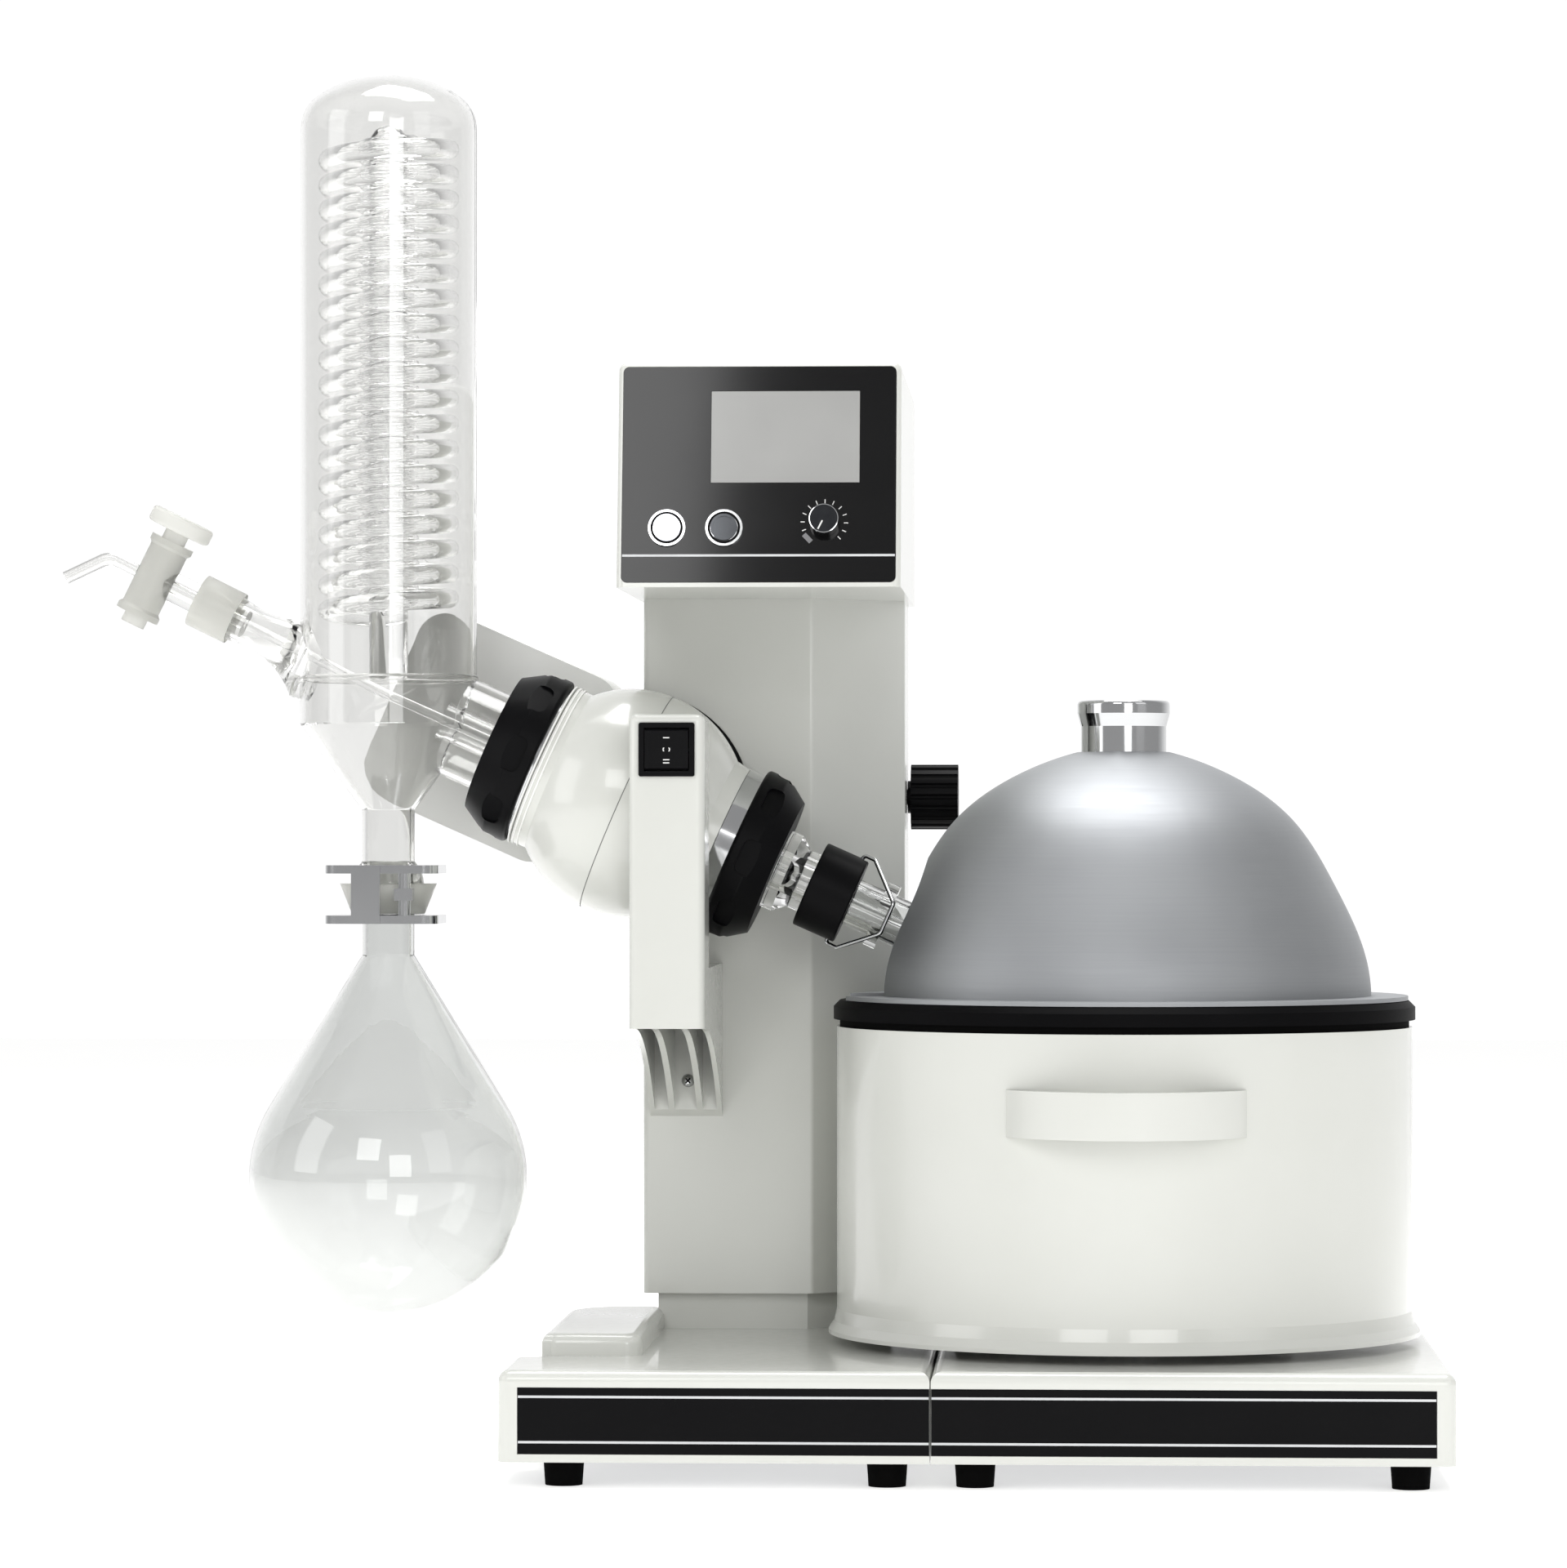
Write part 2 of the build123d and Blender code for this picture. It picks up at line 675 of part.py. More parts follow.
# Sliding sleeve with a closed top and a threaded hole for the clamp knob
with BuildPart() as column_sleeve:
    with BuildSketch(Plane.XY.offset(sleeve_bottom)) as sleeve_plan:
        with BuildLine():
            Polyline(*column_plan, close=True)
        make_face()
        fillet(sleeve_plan.vertices(), COLUMN_CORNER)
    extrude(amount=sleeve_height)
    with BuildSketch(Plane.XY.offset(sleeve_bottom)):
        with BuildLine():
            Polyline(*column_plan, close=True)
        make_face()
        offset(amount=-SLEEVE_WALL, kind=Kind.INTERSECTION, mode=Mode.REPLACE)
    extrude(amount=sleeve_height - SLEEVE_CAP, mode=Mode.SUBTRACT)
    knob_plane = Plane(
        origin=(COLUMN_RIGHT, CLAMP_KNOB_Y, sleeve_top - CLAMP_KNOB_DROP), x_dir=(0, 1, 0), z_dir=(1, 0, 0)
    )
    with BuildSketch(knob_plane):
        Circle(CLAMP_STUD + RUNNING_CLEARANCE)
    extrude(amount=-SLEEVE_WALL, mode=Mode.SUBTRACT)
save(column_sleeve, "column_sleeve")

# Lift nut on the lower end of a push tube that hangs from the sleeve's top
with BuildPart() as lift_nut:
    tube_top = sleeve_top - SLEEVE_CAP
    with BuildSketch(Plane.XY.offset(motor_top + NUT_RISE)):
        with Locations((LIFT_X, LIFT_Y)):
            Circle(NUT_RADIUS)
            Circle(SCREW_RADIUS + RUNNING_CLEARANCE, mode=Mode.SUBTRACT)
    extrude(amount=NUT_HEIGHT)
    with BuildSketch(Plane.XY.offset(motor_top + NUT_RISE + NUT_HEIGHT)):
        with Locations((LIFT_X, LIFT_Y)):
            Circle(NUT_RADIUS)
            Circle(NUT_TUBE_BORE, mode=Mode.SUBTRACT)
    extrude(amount=tube_top - motor_top - NUT_RISE - NUT_HEIGHT)
save(lift_nut, "lift_nut")

# Clamp knob with a ribbed grip and a stud through the sleeve
with BuildPart() as clamp_knob:
    with BuildSketch(knob_plane.offset(CLAMP_KNOB_NECK)):
        Circle(CLAMP_KNOB_RADIUS)
        with PolarLocations(CLAMP_KNOB_RADIUS, CLAMP_GROOVES):
            Circle(CLAMP_GROOVE_RADIUS, mode=Mode.SUBTRACT)
    extrude(amount=CLAMP_KNOB_LENGTH)
    with BuildSketch(knob_plane.offset(SEAT_GAP)):
        Circle(CLAMP_KNOB_RADIUS / 2)
    extrude(amount=CLAMP_KNOB_NECK)
    with BuildSketch(knob_plane.offset(CLAMP_KNOB_NECK)):
        Circle(CLAMP_STUD)
    extrude(amount=-CLAMP_KNOB_NECK - SLEEVE_WALL + SEAT_GAP)
save(clamp_knob, "clamp_knob")

# Control box: a shell whose front leans back and takes the black fascia
lean = math.radians(BOX_LEAN)
fascia_plane = Plane(
    origin=(box_middle, BOX_FRONT, sleeve_top), x_dir=(1, 0, 0), z_dir=(0, -math.cos(lean), math.sin(lean))
)
face_height = BOX_HEIGHT / math.cos(lean)
fascia_bottom = (face_height - FASCIA_HEIGHT) / 2
fascia_middle = face_height / 2
front_top = BOX_FRONT + BOX_HEIGHT * math.tan(lean)
with BuildPart() as control_box:
    with BuildSketch(Plane.YZ.offset(BOX_LEFT)):
        with BuildLine():
            Polyline(
                (BOX_FRONT, sleeve_top),
                (BOX_BACK, sleeve_top),
                (BOX_BACK, box_top),
                (front_top, box_top),
                close=True,
            )
        make_face()
    extrude(amount=BOX_WIDTH)
    fillet(control_box.edges().sort_by(Axis.Z)[4:], BOX_EDGE)
    with BuildSketch(Plane.YZ.offset(BOX_LEFT + BOX_WALL)):
        with BuildLine():
            Polyline(
                (BOX_FRONT + 2 * BOX_WALL, sleeve_top + BOX_WALL),
                (BOX_BACK - BOX_WALL, sleeve_top + BOX_WALL),
                (BOX_BACK - BOX_WALL, box_top - BOX_WALL),
                (front_top + 2 * BOX_WALL, box_top - BOX_WALL),
                close=True,
            )
        make_face()
    extrude(amount=BOX_WIDTH - 2 * BOX_WALL, mode=Mode.SUBTRACT)
    with BuildSketch(fascia_plane):
        with Locations((0, fascia_middle)):
            RectangleRounded(
                FASCIA_WIDTH + 2 * PANEL_CLEARANCE, FASCIA_HEIGHT + 2 * PANEL_CLEARANCE, FASCIA_CORNER
            )
    extrude(amount=-FASCIA_THICKNESS, mode=Mode.SUBTRACT)
    with BuildSketch(fascia_plane):
        with Locations((0, fascia_middle)):
            Rectangle(FASCIA_WIDTH - 2 * FASCIA_LEDGE, FASCIA_HEIGHT - 2 * FASCIA_LEDGE)
    extrude(amount=-3 * BOX_WALL, mode=Mode.SUBTRACT)
save(control_box, "control_box")

# Black fascia with a window for the screen and holes for the controls
with BuildPart() as control_panel:
    with BuildSketch(fascia_plane):
        with Locations((0, fascia_middle)):
            RectangleRounded(FASCIA_WIDTH, FASCIA_HEIGHT, FASCIA_CORNER)
        with Locations((POWER_X, fascia_bottom + BUTTON_ROW), (HEAT_X, fascia_bottom + BUTTON_ROW)):
            Circle(BUTTON_RADIUS + BEZEL_WALL + PANEL_CLEARANCE, mode=Mode.SUBTRACT)
        with Locations((SPEED_X, fascia_bottom + SPEED_ROW)):
            Circle(SPEED_SHAFT + RUNNING_CLEARANCE, mode=Mode.SUBTRACT)
    extrude(amount=-FASCIA_THICKNESS)
    with BuildSketch(fascia_plane):
        with Locations((SCREEN_X, fascia_bottom + SCREEN_ROW)):
            Rectangle(SCREEN_WIDTH + 2 * PANEL_CLEARANCE, SCREEN_HEIGHT + 2 * PANEL_CLEARANCE)
    extrude(amount=-SCREEN_THICKNESS, mode=Mode.SUBTRACT)
save(control_panel, "control_panel")

# Screen glass set in the fascia's window
with BuildPart() as display_screen:
    with BuildSketch(fascia_plane.offset(-SCREEN_THICKNESS)):
        with Locations((SCREEN_X, fascia_bottom + SCREEN_ROW)):
            Rectangle(SCREEN_WIDTH, SCREEN_HEIGHT)
    extrude(amount=SCREEN_THICKNESS)
save(display_screen, "display_screen")

# Two flanged bezels that guide the push buttons
with BuildPart() as button_bezels:
    with BuildSketch(fascia_plane):
        with Locations((POWER_X, fascia_bottom + BUTTON_ROW), (HEAT_X, fascia_bottom + BUTTON_ROW)):
            Circle(BEZEL_RADIUS)
            Circle(BUTTON_RADIUS + RUNNING_CLEARANCE, mode=Mode.SUBTRACT)
    extrude(amount=BEZEL_HEIGHT)
    with BuildSketch(fascia_plane):
        with Locations((POWER_X, fascia_bottom + BUTTON_ROW), (HEAT_X, fascia_bottom + BUTTON_ROW)):
            Circle(BUTTON_RADIUS + BEZEL_WALL)
            Circle(BUTTON_RADIUS + RUNNING_CLEARANCE, mode=Mode.SUBTRACT)
    extrude(amount=-BUTTON_DEPTH)
save(button_bezels, "button_bezels")

# Push buttons with dished tops
for node, button_x in (("power_button", POWER_X), ("heat_button", HEAT_X)):
    with BuildPart() as push_button:
        with BuildSketch(fascia_plane.offset(-BUTTON_DEPTH)):
            with Locations((button_x, fascia_bottom + BUTTON_ROW)):
                Circle(BUTTON_RADIUS)
        extrude(amount=BUTTON_DEPTH + BUTTON_PROUD)
        with BuildSketch(fascia_plane.offset(BUTTON_PROUD)):
            with Locations((button_x, fascia_bottom + BUTTON_ROW)):
                Circle(BUTTON_RADIUS - BEZEL_WALL)
        extrude(amount=-BUTTON_DISH, mode=Mode.SUBTRACT)
    save(push_button, node)

# Speed knob with its shaft through the fascia
with BuildPart() as speed_knob:
    with BuildSketch(fascia_plane.offset(SEAT_GAP)):
        with Locations((SPEED_X, fascia_bottom + SPEED_ROW)):
            Circle(SPEED_RADIUS)
    extrude(amount=SPEED_HEIGHT)
    chamfer(speed_knob.edges().filter_by(GeomType.CIRCLE).sort_by(Axis.Y)[0], BUTTON_DISH)
    with BuildSketch(fascia_plane.offset(SEAT_GAP)):
        with Locations((SPEED_X, fascia_bottom + SPEED_ROW)):
            Circle(SPEED_SHAFT)
    extrude(amount=-SEAT_GAP - FASCIA_THICKNESS - SPEED_SHAFT)
save(speed_knob, "speed_knob")

# Control board on four posts behind the fascia
with BuildPart() as control_board:
    board_plane = fascia_plane.offset(-BOARD_SETBACK)
    with BuildSketch(board_plane):
        with Locations((0, fascia_middle)):
            Rectangle(BOARD_WIDTH, BOARD_HEIGHT)
    extrude(amount=-BOARD_THICKNESS)
    with BuildSketch(board_plane):
        with Locations((0, fascia_middle)):
            with GridLocations(BOARD_WIDTH - 3 * POST_RADIUS, BOARD_HEIGHT - 3 * POST_RADIUS, 2, 2):
                Circle(POST_RADIUS)
    extrude(amount=BOARD_SETBACK - FASCIA_THICKNESS)
save(control_board, "control_board")

# The corbel's underside is one hollow sweep from the arm's front edge down to the column
corbel_run = COLUMN_FRONT - ARM_FRONT
corbel_radius = (corbel_run**2 + CORBEL_FALL**2) / (2 * CORBEL_FALL)


def corbel_height(y):
    """Height of the corbel's underside at depth y."""
    return arm_bottom - corbel_radius + math.sqrt(corbel_radius**2 - (y - ARM_FRONT) ** 2)


slot_places = [
    (-(CORBEL_MIDDLE_SLOT + CORBEL_SLOT) / 2 - CORBEL_RIB, CORBEL_SLOT),
    (0, CORBEL_MIDDLE_SLOT),
    ((CORBEL_MIDDLE_SLOT + CORBEL_SLOT) / 2 + CORBEL_RIB, CORBEL_SLOT),
]
corbel_top = arm_bottom + CORBEL_DEPTH

# Switch arm, hollowed from below by the corbel's slots and from the front for the rocker
rocker_z = arm_top - ROCKER_DROP
frame_opening_x = ROCKER_WIDTH + 2 * ROCKER_GAP
frame_opening_z = 2 * (ROCKER_RADIUS + ROCKER_GAP)
with BuildPart() as switch_arm:
    with BuildSketch(Plane.YZ.offset(ARM_LEFT)):
        with BuildLine():
            ThreePointArc(
                (ARM_FRONT, arm_bottom),
                (ARM_FRONT + ARM_DEPTH / 2, corbel_height(ARM_FRONT + ARM_DEPTH / 2)),
                (arm_back, corbel_height(arm_back)),
            )
            Polyline(
                (arm_back, corbel_height(arm_back)),
                (arm_back, arm_top),
                (ARM_FRONT, arm_top),
                (ARM_FRONT, arm_bottom),
            )
        make_face()
    extrude(amount=ARM_WIDTH)
    front_uprights = switch_arm.edges().filter_by(Axis.Z).group_by(Axis.Y)[0]
    fillet(front_uprights + switch_arm.edges().group_by(Axis.Z)[-1], ARM_EDGE)
    with BuildSketch(upright(arm_middle, ARM_FRONT + CORBEL_RIB)):
        for slot_x, slot_width in slot_places:
            with Locations((slot_x, corbel_top - CORBEL_PLATE)):
                Rectangle(slot_width, 2 * CORBEL_FALL, align=(Align.CENTER, Align.MAX))
    extrude(amount=-ARM_DEPTH, mode=Mode.SUBTRACT)
    with BuildSketch(upright(arm_middle, ARM_FRONT)):
        with Locations((0, rocker_z)):
            Rectangle(
                frame_opening_x + 2 * (FRAME_WALL + PANEL_CLEARANCE),
                frame_opening_z + 2 * (FRAME_WALL + PANEL_CLEARANCE),
            )
    extrude(amount=-FRAME_DEPTH - PANEL_CLEARANCE, mode=Mode.SUBTRACT)
save(switch_arm, "switch_arm")

# Corbel bracket from the arm back to the column
with BuildPart() as arm_bracket:
    with BuildSketch(Plane.YZ.offset(ARM_LEFT)):
        with BuildLine():
            ThreePointArc(
                (arm_back, corbel_height(arm_back)),
                ((arm_back + COLUMN_FRONT) / 2, corbel_height((arm_back + COLUMN_FRONT) / 2)),
                (COLUMN_FRONT, corbel_height(COLUMN_FRONT)),
            )
            Polyline(
                (COLUMN_FRONT, corbel_height(COLUMN_FRONT)),
                (COLUMN_FRONT, corbel_top),
                (arm_back, corbel_top),
                (arm_back, corbel_height(arm_back)),
            )
        make_face()
    extrude(amount=ARM_WIDTH)
    with BuildSketch(upright(arm_middle, arm_back)):
        for slot_x, slot_width in slot_places:
            with Locations((slot_x, corbel_top - CORBEL_PLATE)):
                Rectangle(slot_width, 2 * CORBEL_FALL, align=(Align.CENTER, Align.MAX))
    extrude(amount=arm_back - COLUMN_FRONT + CORBEL_PLATE, mode=Mode.SUBTRACT)
save(arm_bracket, "arm_bracket")

# Rocker switch frame with a sleeve into the arm
rocker_axis_y = ARM_FRONT + ROCKER_PIVOT
with BuildPart() as rocker_bezel:
    with BuildSketch(upright(arm_middle, ARM_FRONT)):
        with Locations((0, rocker_z)):
            RectangleRounded(FRAME_WIDTH, FRAME_HEIGHT, FRAME_WALL)
            Rectangle(frame_opening_x, frame_opening_z, mode=Mode.SUBTRACT)
    extrude(amount=FRAME_PROUD)
    with BuildSketch(upright(arm_middle, ARM_FRONT)):
        with Locations((0, rocker_z)):
            Rectangle(frame_opening_x + 2 * FRAME_WALL, frame_opening_z + 2 * FRAME_WALL)
            Rectangle(frame_opening_x, frame_opening_z, mode=Mode.SUBTRACT)
    extrude(amount=-FRAME_DEPTH)
    with BuildSketch(Plane.YZ.offset(arm_middle - FRAME_WIDTH / 2)):
        with Locations((rocker_axis_y, rocker_z)):
            Circle(ROCKER_PIN + RUNNING_CLEARANCE)
    extrude(amount=FRAME_WIDTH, mode=Mode.SUBTRACT)
save(rocker_bezel, "rocker_bezel")

# Rocker: a drum about its pin with two finger faces meeting in a shallow valley
rocker_corner = math.sqrt(ROCKER_RADIUS**2 - ROCKER_PROUD**2)
rocker_heel = math.sqrt(ROCKER_RADIUS**2 - ROCKER_BACK**2)
rocker_plane = Plane(origin=(arm_middle, rocker_axis_y, rocker_z), x_dir=(0, 1, 0), z_dir=(1, 0, 0))
with BuildPart() as rocker:
    with BuildSketch(rocker_plane.offset(-ROCKER_WIDTH / 2)):
        with BuildLine():
            ThreePointArc((-ROCKER_PROUD, rocker_corner), (0, ROCKER_RADIUS), (ROCKER_BACK, rocker_heel))
            Line((ROCKER_BACK, rocker_heel), (ROCKER_BACK, -rocker_heel))
            ThreePointArc((ROCKER_BACK, -rocker_heel), (0, -ROCKER_RADIUS), (-ROCKER_PROUD, -rocker_corner))
            Polyline(
                (-ROCKER_PROUD, -rocker_corner),
                (-ROCKER_PROUD + ROCKER_DIP, 0),
                (-ROCKER_PROUD, rocker_corner),
            )
        make_face()
    extrude(amount=ROCKER_WIDTH)
    with BuildSketch(rocker_plane.offset(-frame_opening_x / 2 - FRAME_WALL)):
        Circle(ROCKER_PIN)
    extrude(amount=frame_opening_x + 2 * FRAME_WALL)
save(rocker, "rocker")

# Tilt pivot: a boss on the column and a headed pin through the back of the drum
pivot_place = (PIVOT_X, head_z + PIVOT_RISE)
with BuildPart() as tilt_pivot:
    with BuildSketch(upright(0, COLUMN_FRONT)):
        with Locations(pivot_place):
            Circle(PIVOT_BOSS)
    extrude(amount=COLUMN_FRONT - disc_back - SEAT_GAP)
    with BuildSketch(upright(0, COLUMN_FRONT)):
        with Locations(pivot_place):
            Circle(PIVOT_RADIUS)
    extrude(amount=COLUMN_FRONT - DRUM_BACK + DRUM_WALL + SEAT_GAP)
    with BuildSketch(upright(0, DRUM_BACK - DRUM_WALL - SEAT_GAP)):
        with Locations(pivot_place):
            Circle(PIVOT_HEAD)
    extrude(amount=PIVOT_HEAD_THICKNESS)
save(tilt_pivot, "tilt_pivot")

# Belt passage from the head into the motor housing, in the plane of the drum's back
belt_slot_width = BELT_WIDTH + 2 * BELT_SLOT_MARGIN
belt_slot_height = 2 * (SPINDLE_PULLEY_RADIUS + BELT_GAP + BELT_THICKNESS + BELT_SLOT_MARGIN)

# Hollow of the ball and drum, with webs left standing for the two bearings
with BuildPart() as head_hollow:
    with Locations(head_centre):
        Sphere(BALL_RADIUS - SHELL_WALL)
    with BuildSketch(drive_section):
        Circle(DRUM_RADIUS - SHELL_WALL)
    extrude(amount=-DRUM_BACK + DRUM_WALL)
    with BuildSketch(drive_section.offset(-DRUM_BACK + DRUM_WALL)):
        Circle(2 * BALL_RADIUS)
    extrude(amount=-BALL_RADIUS, mode=Mode.SUBTRACT)
    for web_s in (BEARING_LEFT, BEARING_RIGHT):
        with BuildSketch(square_to_drive(web_s)):
            with Locations((WEB_BACK, 0)):
                Rectangle(3 * BALL_RADIUS, 3 * BALL_RADIUS, align=(Align.MAX, Align.CENTER))
        extrude(amount=BEARING_WIDTH, mode=Mode.SUBTRACT)

# Whole head casting before it is parted in two
with BuildPart() as head_casting:
    with Locations(head_centre):
        Sphere(BALL_RADIUS)
    with BuildSketch(drive_section):
        Circle(DRUM_RADIUS)
    extrude(amount=-DRUM_BACK)
    with BuildSketch(drive_section.offset(-DRUM_BACK)):
        Circle(2 * BALL_RADIUS)
    extrude(amount=-BALL_RADIUS, mode=Mode.SUBTRACT)
    for end_s, outward in ((COLLAR_LEFT_END, -1), (COLLAR_RIGHT_END, 1)):
        with BuildSketch(square_to_drive(end_s)):
            Circle(2 * BALL_RADIUS)
        extrude(amount=outward * BALL_RADIUS, mode=Mode.SUBTRACT)
    with BuildSketch(drive_section):
        with BuildLine():
            Polyline(
                (COLLAR_LEFT_END, 0),
                (COLLAR_LEFT_END, COLLAR_LEFT_RADIUS),
                (0, COLLAR_LEFT_RADIUS),
                (COLLAR_RIGHT_END - BEARING_WIDTH, COLLAR_RIGHT_RADIUS + COLLAR_DRAFT),
                (COLLAR_RIGHT_END, COLLAR_RIGHT_RADIUS),
                (COLLAR_RIGHT_END, 0),
                close=True,
            )
        make_face()
    revolve(axis=drive_axis)
    add(head_hollow.part, mode=Mode.SUBTRACT)
    with BuildSketch(drive_section):
        with BuildLine():
            Polyline(
                (COLLAR_LEFT_END, 0),
                (COLLAR_LEFT_END, COLLAR_LEFT_BORE),
                (BEARING_LEFT, COLLAR_LEFT_BORE),
                (BEARING_LEFT, BEARING_RADIUS),
                (BEARING_RIGHT + BEARING_WIDTH, BEARING_RADIUS),
                (BEARING_RIGHT + BEARING_WIDTH, SPINDLE_RADIUS + SHELL_WALL),
                (COLLAR_RIGHT_END, SPINDLE_RADIUS + SHELL_WALL),
                (COLLAR_RIGHT_END, 0),
                close=True,
            )
        make_face()
    revolve(axis=drive_axis, mode=Mode.SUBTRACT)
    with BuildSketch(drive_section.offset(-DRUM_BACK)):
        with Locations((BELT_S, 0)):
            Rectangle(belt_slot_width, belt_slot_height)
    extrude(amount=DRUM_BACK - BELT_SLOT_FRONT, mode=Mode.SUBTRACT)
    with BuildSketch(upright(0, DRUM_BACK)):
        with Locations(pivot_place):
            Circle(PIVOT_RADIUS + RUNNING_CLEARANCE)
    extrude(amount=DRUM_WALL, mode=Mode.SUBTRACT)

# Left and right half shells of the head
for node, kept_side in (("head_shell_left", Keep.BOTTOM), ("head_shell_right", Keep.TOP)):
    with BuildPart() as head_shell:
        add(head_casting.part)
        split(bisect_by=square_to_drive(SPLIT_S), keep=kept_side)
    save(head_shell, node)

# Friction disc between the head and the column
with BuildPart() as friction_disc:
    with BuildSketch(drive_section.offset(-DRUM_BACK)):
        Circle(DISC_RADIUS)
        with Locations((BELT_S, 0)):
            Rectangle(belt_slot_width, belt_slot_height, mode=Mode.SUBTRACT)
    extrude(amount=-DISC_THICKNESS)
    with BuildSketch(upright(0, DRUM_BACK)):
        with Locations(pivot_place):
            Circle(PIVOT_RADIUS + RUNNING_CLEARANCE)
    extrude(amount=-DISC_THICKNESS, mode=Mode.SUBTRACT)
save(friction_disc, "friction_disc")

# Motor housing behind the head, parallel to the spindle
housing_middle = (HOUSING_LEFT + HOUSING_RIGHT) / 2
housing_length = HOUSING_RIGHT - HOUSING_LEFT
housing_depth = HOUSING_BACK - disc_back
with BuildPart() as motor_housing:
    with BuildSketch(drive_section.offset(-disc_back)):
        with Locations((housing_middle, 0)):
            RectangleRounded(housing_length, HOUSING_HEIGHT, HOUSING_CORNER)
    extrude(amount=-housing_depth)
    fillet(motor_housing.edges().group_by(Axis.Y)[-1], HOUSING_EDGE)
    with BuildSketch(drive_section.offset(-disc_back - HOUSING_WALL)):
        with Locations((housing_middle, 0)):
            RectangleRounded(
                housing_length - 2 * HOUSING_WALL,
                HOUSING_HEIGHT - 2 * HOUSING_WALL,
                HOUSING_CORNER - HOUSING_WALL,
            )
    extrude(amount=-housing_depth + 2 * HOUSING_WALL, mode=Mode.SUBTRACT)
    with BuildSketch(drive_section.offset(-disc_back)):
        with Locations((BELT_S, 0)):
            Rectangle(belt_slot_width, belt_slot_height)
    extrude(amount=-HOUSING_WALL, mode=Mode.SUBTRACT)
save(motor_housing, "motor_housing")

# Drive motor on the housing's end wall, with its shaft under the pulley
motor_section = drive_section.offset(-MOTOR_Y)
motor_axis = Axis(motor_section.origin, drive_direction)
with BuildPart() as drive_motor:
    with BuildSketch(motor_section):
        with BuildLine():
            Polyline(
                (HOUSING_LEFT + HOUSING_WALL, 0),
                (HOUSING_LEFT + HOUSING_WALL, MOTOR_RADIUS),
                (MOTOR_FRONT, MOTOR_RADIUS),
                (MOTOR_FRONT, MOTOR_SHAFT),
                (BELT_S + BELT_WIDTH / 2, MOTOR_SHAFT),
                (BELT_S + BELT_WIDTH / 2, 0),
                close=True,
            )
        make_face()
    revolve(axis=motor_axis)
save(drive_motor, "drive_motor")

# Small pulley on the motor shaft
with BuildPart() as motor_pulley:
    with BuildSketch(square_to_drive(BELT_S - BELT_WIDTH / 2)):
        with Locations((MOTOR_Y, 0)):
            Circle(MOTOR_PULLEY_RADIUS)
            Circle(MOTOR_SHAFT + RUNNING_CLEARANCE, mode=Mode.SUBTRACT)
    extrude(amount=BELT_WIDTH)
save(motor_pulley, "motor_pulley")

# Flat belt: the outline round both pulleys, less the same outline one thickness smaller
with BuildPart() as drive_belt:
    for belt_mode, layer in ((Mode.ADD, BELT_GAP + BELT_THICKNESS), (Mode.SUBTRACT, BELT_GAP)):
        big = SPINDLE_PULLEY_RADIUS + layer
        small = MOTOR_PULLEY_RADIUS + layer
        wrap = (big - small) / MOTOR_Y
        rise = math.sqrt(1 - wrap**2)
        with BuildSketch(square_to_drive(BELT_S - BELT_WIDTH / 2)):
            with BuildLine():
                Line((big * wrap, big * rise), (MOTOR_Y + small * wrap, small * rise))
                ThreePointArc(
                    (MOTOR_Y + small * wrap, small * rise),
                    (MOTOR_Y + small, 0),
                    (MOTOR_Y + small * wrap, -small * rise),
                )
                Line((MOTOR_Y + small * wrap, -small * rise), (big * wrap, -big * rise))
                ThreePointArc((big * wrap, -big * rise), (-big, 0), (big * wrap, big * rise))
            make_face()
        extrude(amount=BELT_WIDTH, mode=belt_mode)
save(drive_belt, "drive_belt")

# Two ring bearings in the head's webs
with BuildPart() as head_bearings:
    for bearing_s in (BEARING_LEFT, BEARING_RIGHT):
        with BuildSketch(square_to_drive(bearing_s)):
            Circle(BEARING_RADIUS - RUNNING_CLEARANCE)
            Circle(SPINDLE_RADIUS + RUNNING_CLEARANCE, mode=Mode.SUBTRACT)
        extrude(amount=BEARING_WIDTH)
save(head_bearings, "head_bearings")

# Hollow spindle with a polished ring and a threaded nose
ring_start = COLLAR_RIGHT_END + SEAT_GAP
ring_end = ring_start + SPINDLE_RING_WIDTH
nose_end = ring_end + SPINDLE_THREAD_LENGTH
with BuildPart() as spindle:
    with BuildSketch(drive_section):
        with BuildLine():
            Polyline(
                (SPINDLE_LEFT, VAPOUR_RADIUS + PANEL_CLEARANCE),
                (SPINDLE_LEFT, SPINDLE_RADIUS),
                (ring_start, SPINDLE_RADIUS),
                (ring_start, SPINDLE_RING_RADIUS),
                (ring_end, SPINDLE_RING_RADIUS),
                (ring_end, SPINDLE_THREAD_RADIUS),
                (nose_end, SPINDLE_THREAD_RADIUS),
                (nose_end, VAPOUR_RADIUS + PANEL_CLEARANCE),
                close=True,
            )
        make_face()
    revolve(axis=drive_axis)
save(spindle, "spindle")

# Large pulley on the spindle's left end
with BuildPart() as spindle_pulley:
    with BuildSketch(square_to_drive(BELT_S - BELT_WIDTH / 2)):
        Circle(SPINDLE_PULLEY_RADIUS)
        Circle(SPINDLE_RADIUS, mode=Mode.SUBTRACT)
    extrude(amount=BELT_WIDTH)
save(spindle_pulley, "spindle_pulley")

